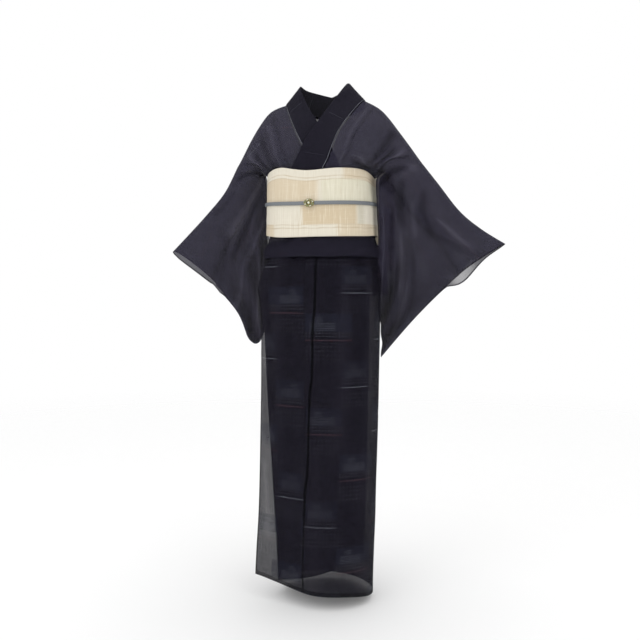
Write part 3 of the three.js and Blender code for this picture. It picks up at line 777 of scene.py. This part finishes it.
def press(bm, share, lift_at):
    """Moves the points along their normals by lift_at(u, v) in mm, and notes how deep each one lies."""
    bm.normal_update()
    dip = bm.verts.layers.float["dip"]
    moves = {}
    for vert, (u, v) in share.items():
        lift = lift_at(u, v)
        vert[dip] = -lift / FULL_HOLLOW
        moves[vert] = vert.normal * (lift / 1000)
    for vert, move in moves.items():
        vert.co += move


def join_edges(bm):
    """Joins the first and last edge of a form that closes on itself."""
    bmesh.ops.remove_doubles(bm, verts=bm.verts[:], dist=JOIN_M)


def finish_piece(name, bm, material, node, thick=None, offset=-1.0, rounded=False):
    mesh = bpy.data.meshes.new(name)
    bm.to_mesh(mesh)
    bm.free()
    mesh.materials.append(material)
    mesh.shade_smooth()
    obj = add_object(name, mesh)
    if thick:
        wall = obj.modifiers.new("wall", "SOLIDIFY")
        wall.thickness = thick
        wall.offset = offset
    if rounded:
        soft = obj.modifiers.new("rounded", "SUBSURF")
        soft.levels = soft.render_levels = 1
    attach(obj, "root")
    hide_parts(node)
    return obj


# Skirt


def skirt_point(angle, height, inside=0.0):
    _, half, front, back, centre = at(SKIRT, height)
    s, c = turned(angle)
    return centre + (half - inside) * s, -((front if c > 0 else back) - inside) * c, height


def seam_of(height):
    return at(FRONT_EDGE, height)[3]


def under_lap(angle):
    return LAP * ease((angle + SIDE_SEAM) / 45)


def overlap_point(u, height):
    _, x, y, seam = at(FRONT_EDGE, height)
    a = skirt_point(seam - 0.1, height)
    b = skirt_point(seam - 1.1, height)
    k = 1 - u
    bend = [p + 28 * (q - p) for p, q in zip(a, b)]
    end = (x, y, height)
    return [k * k * p + 2 * k * u * q + u * u * r for p, q, r in zip(a, bend, end)]


def skirt_piece(name, node, width, columns, point_at, hem_at, material, creases, free=False, fold=False):
    """One panel of the skirt. A free side u = 1 is turned in, and fold marks the allowance beside u = 0."""
    rows = 130

    def place(u, v):
        return point_at(u, lerp(SKIRT_TOP, hem_at(u), v))

    def cut(u, v):
        return u * width, lerp(SKIRT_TOP, hem_at(u), v) / 1000

    def extra(u, v):
        height = lerp(SKIRT_TOP, hem_at(u), v)
        room = (height - hem_at(u)) / 1000 - HEM_M
        if free:
            room = min(room, (1 - u) * width - TURNED_EDGE_M)
        return room, (u * width - at(ALLOWANCE, height)[1] / 1000) if fold else 1.0

    bm, share = grid_of(columns, rows, place, cut, extra)
    face_outward(bm, axis_point)
    press(bm, share, lambda u, v: crease_height(creases, u * width * 1000, v * SKIRT_CREASE_LENGTH))
    obj = finish_piece(name, bm, material, node, CLOTH_M)


# Creases of the skirt: from x, y to x, y, width and height in mm, x across the panel and y down from its top
LEFT_FRONT_CREASES = [
    # long soft waves that hang from the sash, and the marks of the store folds
    (66, -20, 40, 330, 16, -1.6),
    (96, -20, 88, 520, 20, 1.7),
    (140, -20, 132, 420, 15, -1.8),
    (176, -30, 170, 700, 20, 1.9),
    (206, -10, 202, 620, 14, -1.7),
    (30, 500, 26, 900, 20, 1.2),
    (112, 560, 118, 900, 26, -1.5),
    (0, 236, 232, 244, 7, -0.7),
    (0, 560, 232, 552, 7, 0.6),
]
LEFT_OVERLAP_CREASES = [
    (44, -20, 50, 380, 14, -1.4),
    (82, -10, 88, 560, 16, 1.6),
    (120, 20, 110, 420, 12, -1.5),
    (148, 330, 128, 520, 9, -1.6),
    (140, 560, 118, 760, 12, 1.8),
    (70, 620, 78, 880, 18, -1.4),
    (0, 300, 158, 286, 7, 0.6),
]
LEFT_BACK_CREASES = [
    (40, -20, 34, 640, 18, -1.6),
    (92, -10, 98, 520, 20, 1.7),
    (140, -20, 134, 800, 22, -1.5),
    (190, -10, 196, 460, 16, 1.5),
    (0, 420, 226, 428, 7, -0.6),
]
RIGHT_BACK_CREASES = [
    (34, -20, 30, 560, 18, 1.6),
    (80, -10, 90, 720, 22, -1.6),
    (132, -20, 128, 480, 16, 1.5),
    (186, -10, 180, 680, 20, -1.6),
    (0, 420, 226, 412, 7, 0.6),
]
RIGHT_FRONT_CREASES = [
    (50, -20, 60, 520, 18, 1.2),
    (120, -20, 112, 640, 20, -1.2),
    (176, -10, 180, 460, 16, 1.1),
]
RIGHT_OVERLAP_CREASES = [
    (40, -20, 44, 480, 16, -1.1),
    (100, -20, 92, 620, 18, 1.2),
]


def build_skirt():
    skirt_piece(
        "left_front_cloth", "skirt_left_front", 0.232, 44,
        lambda u, h: skirt_point(lerp(seam_of(h) + 0.1, SIDE_SEAM - 0.1, u), h),
        lambda u: at(OUTER_HEM, lerp(-12, SIDE_SEAM, u))[1],
        cloth_material("left front", (0.0, 0.022)), LEFT_FRONT_CREASES, fold=True,
    )
    skirt_piece(
        "left_overlap_cloth", "skirt_left_overlap", 0.158, 34, overlap_point,
        lambda u: at(OUTER_HEM, lerp(-12, -75, u))[1],
        cloth_material("left overlap", (0.0, -0.044)), LEFT_OVERLAP_CREASES, free=True,
    )
    skirt_piece(
        "left_back_cloth", "skirt_left_back", 0.226, 40,
        lambda u, h: skirt_point(lerp(SIDE_SEAM + 0.1, 180, u), h),
        lambda u: at(OUTER_HEM, lerp(SIDE_SEAM, 180, u))[1],
        cloth_material("left back", (0.06, 0.09)), LEFT_BACK_CREASES,
    )
    skirt_piece(
        "right_back_cloth", "skirt_right_back", 0.226, 40,
        lambda u, h: skirt_point(lerp(180, 360 - SIDE_SEAM - 0.1, u), h),
        lambda u: at(OUTER_HEM, lerp(180, 270, u))[1],
        cloth_material("right back", (0.03, 0.15)), RIGHT_BACK_CREASES,
    )

    def under_point(u, h):
        angle = lerp(-SIDE_SEAM + 0.1, 3.9, u)
        return skirt_point(angle, h, under_lap(angle))

    skirt_piece(
        "right_front_cloth", "skirt_right_front", 0.218, 36, under_point,
        lambda u: at(INNER_HEM, lerp(-SIDE_SEAM, 4, u))[1],
        cloth_material("right front", (0.05, 0.07)), RIGHT_FRONT_CREASES,
    )
    skirt_piece(
        "right_overlap_cloth", "skirt_right_overlap", 0.150, 30,
        lambda u, h: skirt_point(lerp(4.1, OPENING_LAP, u), h, LAP),
        lambda u: at(INNER_HEM, lerp(4, OPENING_LAP, u))[1],
        cloth_material("right overlap", (0.02, 0.19)), RIGHT_OVERLAP_CREASES, free=True,
    )


# Sleeves


def sleeve_share(s):
    """Share of the length at step s from the top fold, 0, to the bottom fold, 1."""
    if s <= UNDER_STEP:
        return UNDER_SHARE * (1 - math.cos(math.pi * s / UNDER_STEP)) / 2
    c = (s - UNDER_STEP) / (1 - UNDER_STEP)
    return lerp(UNDER_SHARE, 1, math.sin(c * math.pi / 2) * 0.35 + c * 0.65)


def sleeve_mid(rows, u, d):
    r = through(rows, u * (len(rows) - 1))
    column = [r[0:3], r[3:6], r[6:9], r[9:12]]
    t = d / UNDER_SHARE if d < UNDER_SHARE else 1 + 2 * (d - UNDER_SHARE) / (1 - UNDER_SHARE)
    x, y, z = through(column, t)
    wave = SLEEVE_WAVE * math.sin(math.pi * (5.2 * u + 1.1 * d)) * ease((d - 0.25) / 0.3)
    return [x, y + wave * ease(u * 3), z]


def sleeve_half(rows, u, d):
    arm, under, low = through(rows, u * (len(rows) - 1))[12:15]
    if d <= UNDER_SHARE:
        c = d / UNDER_SHARE
        return arm * 2 * math.sqrt(max(0, c * (1 - c))) * (1 - c * c * 0.15) + under * c * c
    c = (d - UNDER_SHARE) / (1 - UNDER_SHARE)
    shut = math.sqrt(max(0, 1 - max(0, (c - 0.94) / 0.06) ** 2))
    return lerp(under, low, ease(c * 1.6)) * shut


def sleeve_piece(name, node, rows, cuff, inner, material, front_creases, back_creases):
    """A sleeve. cuff says how far its front and back layers move at the cuff, inner how far the free
    inner edge comes to the sash and to the front."""
    around, along = 132, 66
    front_back, back_out = cuff

    def part(u):
        """Step from the top fold, and -1 on the front layer or +1 on the back one."""
        return (2 * u, -1) if u <= 0.5 else (2 - 2 * u, 1)

    def hang(d):
        """How far the back layer hangs out of the cuff, most near its lower end."""
        return math.sin(math.pi * clip((d - 0.10) / (CUFF_SHARE - 0.10)) ** 1.7) ** 1.3

    def place(u, v):
        s, side = part(u)
        d = sleeve_share(s)
        if side < 0:
            # the front of the cuff falls back a little and shows the inside
            low = math.sin(math.pi * clip((d - 0.10) / (CUFF_SHARE - 0.08)))
            v *= 1 - front_back * low * ease((v - 0.5) / 0.5)
        else:
            v *= 1 + back_out * hang(d) * ease((v - 0.6) / 0.4)
        p = sleeve_mid(rows, min(1.0, v), d)
        if v > 1:
            # beyond the cuff the cloth goes straight on
            before = sleeve_mid(rows, 0.96, d)
            p = [a + (a - b) * (v - 1) / 0.04 for a, b in zip(p, before)]
            v = 1.0
        near = ease((d - 0.30) / 0.07) * max(0.0, 1 - v) ** 4
        p[0] -= inner[0] * near * (1 - ease((d - 0.52) / 0.1))
        p[1] -= inner[1] * near * (1 + 0.5 * ease((d - 0.45) / 0.17)) * (1 - ease((d - 0.74) / 0.16))
        sewn = 1 - ease((v - 0.9) / 0.1) * ease((d - CUFF_SHARE) / 0.03)
        p[1] += side * sleeve_half(rows, v, d) * sewn
        return p

    def cut(u, v):
        s, side = part(u)
        return v * SLEEVE_CUT[0] / 1000, -side * sleeve_share(s) * SLEEVE_CUT[1] / 1000

    def extra(u, v):
        d = sleeve_share(part(u)[0])
        wide = SLEEVE_CUT[0] / 1000
        room = (1 - v) * wide - (NARROW_HEM_M if d < CUFF_SHARE else HEM_M)
        if d > UNDER_SHARE:
            room = min(room, v * wide - NARROW_HEM_M)
        return room, 1.0

    def lift_at(u, v):
        s, side = part(u)
        creases = front_creases if side < 0 else back_creases
        lift = crease_height(creases, v * SLEEVE_CUT[0], sleeve_share(s) * SLEEVE_CUT[1])
        return lift * ease((1 - s) / 0.05) * ease(s / 0.08)

    def inside(p):
        return Vector((p.x, lerp(-0.006, 0.06, clip((-0.15 - p.z) / 0.5)), p.z))

    bm, share = grid_of(around, along, place, cut, extra)
    join_edges(bm)
    share = {vert: uv for vert, uv in share.items() if vert.is_valid}
    face_outward(bm, inside)
    press(bm, share, lift_at)
    if back_out:
        # the loose back of the cuff is marked by a strong ridge, which thins the cloth and paints it lighter
        # with the ridges' painted highlight
        dip = bm.verts.layers.float["dip"]
        for vert, (u, v) in share.items():
            s, side = part(u)
            if side > 0:
                vert[dip] -= 3.0 * hang(sleeve_share(s)) * ease((v - 0.86) / 0.04)
    obj = finish_piece(name, bm, material, node, CLOTH_M)


# Creases of the sleeves: from x, y to x, y, width and height in mm, x along the arm from the armhole
# and y down from the top fold
LEFT_SLEEVE_FRONT_CREASES = [
    # from the underarm up to the shoulder, and down beside it
    (18, 190, 32, 70, 6, -4.0),
    (40, 96, 30, 40, 8, 2.6),
    (50, 104, 92, 204, 11, -3.8),
    (86, 66, 122, 118, 9, -3.2),
    (122, 118, 176, 146, 10, -3.0),
    (180, 142, 300, 78, 11, -2.4),
    (150, 94, 282, 84, 9, 2.6),
    (92, 120, 140, 190, 9, 2.4),
    # along the open inner edge and fanning out to the lower corner
    (26, 212, 44, 450, 8, 3.4),
    (56, 186, 68, 300, 8, -3.2),
    (68, 300, 120, 410, 9, -3.0),
    (92, 226, 160, 350, 12, 2.8),
    (150, 230, 240, 330, 13, -2.4),
    (180, 300, 262, 440, 11, 2.2),
]
LEFT_SLEEVE_BACK_CREASES = [
    (12, 160, 200, 110, 12, -2.6),
    (14, 200, 240, 240, 13, 2.8),
    (12, 230, 210, 420, 15, -3.0),
    (90, 60, 300, 120, 14, 1.8),
]
RIGHT_SLEEVE_FRONT_CREASES = [
    # from the underarm up to the shoulder, and out along the arm
    (6, 150, 44, 64, 6, -4.0),
    (8, 152, 168, 142, 9, 3.4),
    (12, 178, 210, 196, 12, -3.4),
    (70, 80, 150, 60, 10, -2.0),
    # down to the cuff and to the lower corner
    (28, 248, 168, 256, 10, 3.4),
    (168, 256, 284, 322, 11, 2.8),
    (40, 290, 120, 410, 9, -3.2),
    (84, 296, 170, 430, 10, 2.8),
    (180, 330, 250, 440, 10, -2.4),
    (200, 150, 300, 190, 14, -1.8),
]
RIGHT_SLEEVE_BACK_CREASES = [
    (12, 160, 200, 120, 12, 2.6),
    (14, 210, 230, 260, 13, -2.8),
    (12, 240, 190, 430, 15, 2.8),
]


def build_sleeves():
    # painted light: the sleeves' ground is painted lighter than the skirt's
    left = cloth_material("left sleeve", (0.05, 0.03), single=0.89, figured=0.3, light=2.8, painted_crease_shading=0.72)
    sleeve_piece(
        "left_sleeve_cloth", "sleeve_left", LEFT_SLEEVE, (0.010, 0.11), (1.5, 38),
        left, LEFT_SLEEVE_FRONT_CREASES, LEFT_SLEEVE_BACK_CREASES,
    )
    right = cloth_material("right sleeve", (0.01, 0.14), single=0.89, figured=0.3, light=2.9, painted_crease_shading=0.8)
    sleeve_piece(
        "right_sleeve_cloth", "sleeve_right", RIGHT_SLEEVE, (0.022, 0.0), (0, 0),
        right, RIGHT_SLEEVE_FRONT_CREASES, RIGHT_SLEEVE_BACK_CREASES,
    )


# Bodice and collar


def armhole(rows, share):
    c = abs(share)
    d = UNDER_SHARE * (1 - math.cos(math.pi * c)) / 2
    sign = (share > 0) - (share < 0)
    p = sleeve_mid(rows, 0, d)
    p[1] += sign * sleeve_half(rows, 0, d)
    q = sleeve_mid(rows, 0.06, d)
    q[1] += sign * sleeve_half(rows, 0.06, d)
    along = Vector(q) - Vector(p)
    return list(Vector(p) - along.normalized() * 0.1)


def bodice_keys(shoulder, sleeve_rows, front_edge, mirror, inside):
    """Rows of the half, from the front fold of the waist tuck over the shoulder to the back one."""

    def low(k, is_back):
        height, half, front, back, centre = BODICE[k]

        def row(u):
            start = 180 - 0.02 if is_back else mirror * front_edge[k]
            angle = lerp(start, 90.05 if is_back else 89.95, u)
            s, c = turned(angle)
            dip = 0 if is_back else inside * ease((86 - angle) / 50)
            return [mirror * (half - dip) * s + centre, -((front if c > 0 else back) - dip) * c, height]

        return row

    def high(values):
        o = armhole(sleeve_rows, values[9])
        controls = [values[0:3], values[3:6], values[6:9], o]
        return lambda u: through(controls, 3 * u)

    keys = [low(k, False) for k in range(len(BODICE))]
    keys += [high(r) for r in shoulder]
    keys += [low(k, True) for k in reversed(range(len(BODICE)))]
    return keys


def bodice_point(keys, mirror, u, v):
    t = v * (len(keys) - 1)
    i = min(len(keys) - 2, int(t))
    first = max(0, i - 1)
    near = [key(u) for key in keys[first:i + 3]]
    x, y, z = through(near, t - first)
    if y > 40:
        x = mirror * max(mirror * x, 0.15)
    return [x, y, z]


def bodice_piece(name, node, keys, mirror, material, creases):
    def place(u, v):
        return bodice_point(keys, mirror, u, v)

    def cut(u, v):
        return u * BODICE_CUT[0] / 1000, v * BODICE_CUT[1] / 1000

    def inside(p):
        out = mirror * max(0.0, abs(p.x) - 0.12) * 0.8
        return Vector((SASH_CENTRE / 1000 + out, 0.0, min(p.z, -0.1)))

    bm, share = grid_of(40, 156, place, cut)
    face_outward(bm, inside)
    press(bm, share, lambda u, v: crease_height(creases, u * BODICE_CUT[0], v * BODICE_CUT[1]))
    obj = finish_piece(name, bm, material, node, CLOTH_M)


LEFT_KEYS = bodice_keys(LEFT_SHOULDER, LEFT_SLEEVE, LEFT_FRONT_EDGE, 1, 0)
RIGHT_KEYS = bodice_keys(RIGHT_SHOULDER, RIGHT_SLEEVE, RIGHT_FRONT_EDGE, -1, LAP)
# Creases of the bodice: from x, y to x, y, width and height in mm, x across from the front edge
# and y from the front of the tuck over the shoulder
LEFT_BODICE_CREASES = [
    # the pressed line beside the collar, and the soft folds by the armhole
    (82, 316, 62, 480, 4, -2.4),
    (70, 316, 48, 470, 6, 1.4),
    (176, 330, 168, 470, 12, -3.2),
    (232, 316, 200, 430, 8, -3.4),
    (252, 336, 226, 440, 7, 2.6),
    (262, 350, 252, 440, 6, -2.6),
    (110, 352, 214, 318, 10, -3.0),
    (120, 380, 180, 340, 8, 2.0),
    (200, 640, 150, 560, 12, -2.6),
    (120, 690, 110, 580, 12, 2.0),
    (60, 700, 54, 590, 12, -1.6),
    (30, 40, 120, 60, 8, 1.5),
    (140, 36, 230, 56, 9, -1.5),
]
RIGHT_BODICE_CREASES = [
    (78, 316, 74, 470, 5, -1.8),
    (110, 316, 104, 450, 8, 1.6),
    (150, 320, 150, 440, 12, -2.6),
    (214, 316, 196, 420, 8, -3.2),
    (240, 330, 216, 440, 7, 2.6),
    (120, 330, 226, 316, 9, -2.4),
    (200, 640, 150, 560, 12, -2.6),
    (110, 690, 104, 580, 12, 1.8),
    (40, 40, 130, 58, 8, -1.4),
]


def build_bodice():
    # painted light: the bodice's ground is painted lighter than the skirt's
    looks = {"single": 0.88, "figured": 0.4, "light": 3.0, "painted_crease_shading": 0.9, "tuck": 0.5}
    left = cloth_material("left bodice", (0.0, 0.203), **looks)
    bodice_piece("left_bodice_cloth", "bodice_left", LEFT_KEYS, 1, left, LEFT_BODICE_CREASES)
    right = cloth_material("right bodice", (0.04, 0.03), **looks)
    bodice_piece("right_bodice_cloth", "bodice_right", RIGHT_KEYS, -1, right, RIGHT_BODICE_CREASES)


def collar_point(keys, mirror, fold, u, t):
    edge = Vector(bodice_point(keys, mirror, 0.0, (COLLAR_START + t) / (len(keys) - 1)))
    end = Vector(through(fold, t))
    # at the back of the neck the band covers the edge it is sewn to
    start = edge + (end - edge).normalized() * (0.9 - 7.0 * ease((t - 7.5) / 1.5))
    if t > 9.9:
        start.x = 0
    return start.lerp(end, u)


def build_collar():
    def place(u, v):
        if v <= 0.5:
            return collar_point(LEFT_KEYS, 1, LEFT_FOLD, u, 20 * v)
        return collar_point(RIGHT_KEYS, -1, RIGHT_FOLD, u, 20 - 20 * v)

    bm, share = grid_of(10, 160, place, lambda u, v: (u * 0.056, v * 1.10))
    face_outward(bm, lambda p: Vector((0.0, 0.0, p.z - 0.03)))
    material = collar_material()
    obj = finish_piece("collar_cloth", bm, material, "collar", COLLAR_M, 1.0, rounded=True)


# Sash


def sash_point(angle, height, out=0.0):
    swell = out - SASH_TAPER * (height - 920) / 160
    s, c = turned(angle)
    return [SASH_CENTRE + (SASH_ACROSS + swell) * s, -(SASH_FRONT + swell) * c, height]


def band_point(path, half_width, hollowing, u, v):
    y, z = through(path, v * (len(path) - 1))
    x = lerp(-half_width, half_width, u)
    return [x, y - hollowing * (x / half_width) ** 2 * ease((y - 150) / 50), z]


# Creases of the drum: from x, y to x, y, width and height in mm, x across the band and y along it
DRUM_CREASES = [(40, 180, 52, 420, 18, -2.0), (250, 170, 244, 430, 20, 1.8), (120, 300, 190, 312, 10, -1.2)]


def build_sash():
    weave = sash_material()

    def round_body(u, v):
        angle = -90 + 360 * u
        _, top, bottom = at(SASH_EDGES, angle)
        wave = 0.35 * math.sin(9 * math.pi * v) * math.sin(math.radians(3 * angle))
        return sash_point(angle, lerp(bottom, top, v), wave)

    bm, share = grid_of(180, 26, round_body, lambda u, v: (u * 0.85, v * 0.158))
    join_edges(bm)
    face_outward(bm, axis_point)
    band = finish_piece("sash_cloth", bm, weave, "sash_band", SASH_M, rounded=True)

    def drum_place(u, v):
        return band_point(DRUM_PATH, 152, 9, u, v)

    def drum_middle(p):
        return Vector((p.x, 0.172, -0.27))

    bm, share = grid_of(40, 96, drum_place, lambda u, v: (v * 0.62, u * 0.304))
    face_outward(bm, drum_middle)
    press(bm, share, lambda u, v: crease_height(DRUM_CREASES, u * 304, v * 620))
    drum = finish_piece("drum_cloth", bm, weave, "sash_drum", SASH_M, rounded=True)

    def tail_place(u, v):
        return band_point(TAIL_PATH, 143, 0, u, v)

    bm, share = grid_of(36, 22, tail_place, lambda u, v: (v * 0.17 + 0.1, u * 0.286))
    face_outward(bm, axis_point)
    tail = finish_piece("tail_cloth", bm, weave, "sash_tail", SASH_M, rounded=True)

    def end_place(u, v):
        x = lerp(-160, 160, u)
        return [x, 182 - 8 * (x / 160) ** 2, lerp(930, 1072, v)]

    bm, share = grid_of(40, 18, end_place, lambda u, v: (u * 0.32, v * 0.142 + 0.008))
    face_outward(bm, axis_point)
    end = finish_piece("end_cloth", bm, weave, "sash_end", END_M, rounded=True)


# Cord and slide


def cord_path():
    points = []
    for angle in range(-CORD_FRONT_END, CORD_FRONT_END + 1, 4):
        rise = (CORD_RISE_LEFT if angle > 0 else CORD_RISE_RIGHT) * ease(abs(angle) / 90)
        p = sash_point(angle, CORD_HEIGHT + rise, CORD_OFF + CORD_THICK / 2)
        p[1] -= CORD_BOW * math.exp(-(((p[0] - SLIDE_X) / 24) ** 4))
        points.append(p)
    points += [[x, y, CORD_HEIGHT + k * CORD_RISE_LEFT] for x, y, k in CORD_BACK]
    points.append([0, 184.7, CORD_HEIGHT])
    points += [[-x, y, CORD_HEIGHT + k * CORD_RISE_RIGHT] for x, y, k in reversed(CORD_BACK)]
    return points


def bent(value, power):
    """A power of a value between -1 and 1 that keeps its sign, which squares off a circle."""
    return math.copysign(abs(value) ** power, value)


def build_cord():
    path = cord_path()
    count = len(path)
    steps = 560
    corner = 0.62

    def on_path(v):
        t = (v % 1.0) * count
        i = int(t)
        near = [path[(i + k - 1) % count] for k in range(4)]
        return Vector(through(near, 1 + t - i))

    def place(u, v):
        here = on_path(v)
        along = on_path(v + 0.002) - on_path(v - 0.002)
        out = Vector((along.y, -along.x, 0)).normalized()
        turn = 2 * math.pi * u
        rise = Vector((0, 0, bent(math.sin(turn), corner) * CORD_TALL / 2))
        return here + out * (bent(math.cos(turn), corner) * CORD_THICK / 2) + rise

    bm, share = grid_of(16, steps, place, lambda u, v: (v * 1.13, u * BRAID_ROUND))
    join_edges(bm)
    face_outward(bm, lambda p: min((in_frame(q) for q in path), key=lambda q: (q - p).length_squared))
    finish_piece("cord_braid", bm, cord_material(), "cord")


def build_slide():
    """Openwork slide: rims and small rings on a low dome, with stones, and a strap round the cord."""
    half_x, half_z, rise = 13.0, 10.0, 3.6
    cord_front = -(SASH_FRONT - SASH_TAPER / 2 + CORD_OFF + CORD_THICK + CORD_BOW)
    centre = Vector((SLIDE_X, cord_front - 0.9, CORD_HEIGHT))

    def on_dome(turn, reach):
        x, z = half_x * reach * math.cos(turn), half_z * reach * math.sin(turn)
        return Vector((x, -rise * (1 - reach * reach), z))

    def ring(bm, place, radius, wire, flat, steps):
        before = set(bm.verts)
        upright = Matrix.Rotation(math.pi / 2, 3, "X")
        made = bmesh.ops.create_circle(bm, cap_ends=False, radius=wire, segments=8)["verts"]
        bmesh.ops.rotate(bm, verts=made, cent=(0, 0, 0), matrix=upright)
        bmesh.ops.translate(bm, verts=made, vec=(radius, 0, 0))
        around = made + list({e for v in made for e in v.link_edges})
        bmesh.ops.spin(
            bm, geom=around, cent=(0, 0, 0), axis=(0, 0, 1), angle=2 * math.pi, steps=steps, use_merge=True,
        )
        new = [v for v in bm.verts if v not in before]
        bmesh.ops.rotate(bm, verts=new, cent=(0, 0, 0), matrix=upright)
        bmesh.ops.scale(bm, verts=new, vec=(1, 1, flat))
        bmesh.ops.translate(bm, verts=new, vec=place)

    def bead(bm, place, radius, deep, segments):
        rows = segments // 2 + 1
        made = bmesh.ops.create_uvsphere(bm, u_segments=segments, v_segments=rows, radius=radius)["verts"]
        bmesh.ops.scale(bm, verts=made, vec=(1, deep, 1))
        bmesh.ops.translate(bm, verts=made, vec=place)

    def put(name, bm, material):
        bmesh.ops.recalc_face_normals(bm, faces=bm.faces[:])
        for vert in bm.verts:
            vert.co = in_frame(vert.co + centre)
        finish_piece(name, bm, material, "cord_slide")

    gilt = bmesh.new()
    ring(gilt, Vector((0, 0.2, 0)), half_x - 0.8, 0.8, half_z / half_x, 48)
    ring(gilt, Vector((0, -1.9, 0)), half_x * 0.55, 0.55, half_z / half_x, 36)
    ring(gilt, Vector((0, -rise + 0.1, 0)), 3.1, 0.6, 1.0, 24)
    for k in range(32):
        bead(gilt, on_dome(k * math.pi / 16, 0.965) + Vector((0, -0.35, 0)), 0.62, 1.0, 8)
    for k in range(8):
        turn = (k + 0.5) * math.pi / 4
        ring(gilt, on_dome(turn, 0.755), 2.15, 0.45, 1.0, 18)
        bead(gilt, on_dome(turn + math.pi / 8, 0.62), 0.95, 0.8, 8)
        bead(gilt, on_dome(turn + math.pi / 8, 0.42), 0.7, 0.8, 8)
    # strap behind, with room for the cord
    wide, room_y, room_z = 8.0, CORD_THICK / 2 + 0.95, CORD_TALL / 2 + 0.95
    strap = bmesh.ops.create_grid(gilt, x_segments=28, y_segments=1, size=0.5)["verts"]
    for vert in strap:
        turn = 2 * math.pi * (vert.co.x + 0.5)
        y = bent(math.cos(turn), 0.4) * room_y + CORD_THICK / 2 + 0.9
        vert.co = Vector((vert.co.y * wide, y, bent(math.sin(turn), 0.4) * room_z))
    bmesh.ops.remove_doubles(gilt, verts=strap, dist=0.01)
    strap = [v for v in strap if v.is_valid]
    faces = list({f for v in strap for f in v.link_faces})
    bmesh.ops.recalc_face_normals(gilt, faces=faces)
    bmesh.ops.solidify(gilt, geom=faces, thickness=-0.5)
    put("slide_gilt", gilt, metal_material())

    # stones in the eight small rings, pale and green in turn, and a pale one in the centre
    pale, green = bmesh.new(), bmesh.new()
    bead(pale, Vector((0, -rise - 0.1, 0)), 2.7, 0.55, 18)
    for k in range(8):
        bead(green if k % 2 else pale, on_dome((k + 0.5) * math.pi / 4, 0.755), 1.75, 0.6, 14)
    put("slide_pale_stones", pale, stone_material("pale stone", (0.80, 0.84, 0.70)))
    put("slide_green_stones", green, stone_material("green stone", (0.20, 0.27, 0.13)))


def build_floor():
    bm = bmesh.new()
    bmesh.ops.create_circle(bm, cap_ends=True, radius=14.0, segments=96)
    mesh = bpy.data.meshes.new("floor")
    for vert in bm.verts:
        vert.co.z = -SHOULDER_HEIGHT / 1000
    bm.to_mesh(mesh)
    bm.free()
    material, n, shader = new_material("pale floor")
    place = n.add("ShaderNodeTexCoord").outputs["Object"]
    flat = n.stretched(place, 1.0, 1.0, 0.0)
    far = n.add("ShaderNodeVectorMath", flat, operation="LENGTH").outputs["Value"]
    shader.inputs["Base Color"].default_value = (0.92, 0.92, 0.92, 1)
    shader.inputs["Roughness"].default_value = 0.9
    shader.inputs["Specular IOR Level"].default_value = 0.1
    n.join(n.map(far, 0.9, 4.5, 1.0, 0.0), shader.inputs["Alpha"])
    mesh.materials.append(material)
    obj = add_object("floor", mesh)


def area_light(name, place, target, size, power):
    data = bpy.data.lights.new(name, "AREA")
    data.shape = "RECTANGLE"
    data.size, data.size_y = size
    data.energy = power
    obj = add_object(name, data)
    obj.location = place
    obj.rotation_euler = (Vector(target) - Vector(place)).to_track_quat("-Z", "Y").to_euler()


def build_light():
    world = bpy.data.worlds.new("white studio")
    scene.world = world
    world.use_nodes = True
    back = next(node for node in world.node_tree.nodes if node.type == "BACKGROUND")
    back.inputs[0].default_value = (1.0, 1.0, 1.0, 1)
    back.inputs[1].default_value = 1.0
    area_light("key", (-1.6, -2.6, 1.5), (0, 0, -0.5), (2.2, 1.8), 14)
    area_light("fill", (2.4, -2.0, 0.6), (0, 0, -0.6), (2.0, 2.0), 6)
    area_light("top", (0.2, 0.3, 2.2), (0, 0, -0.3), (1.6, 1.6), 12)
    scene.view_settings.view_transform = "Standard"
    scene.cycles.transparent_max_bounces = 40


build_camera()
build_skirt()
build_sleeves()
build_bodice()
build_collar()
build_sash()
build_cord()
build_slide()
build_floor()
build_light()
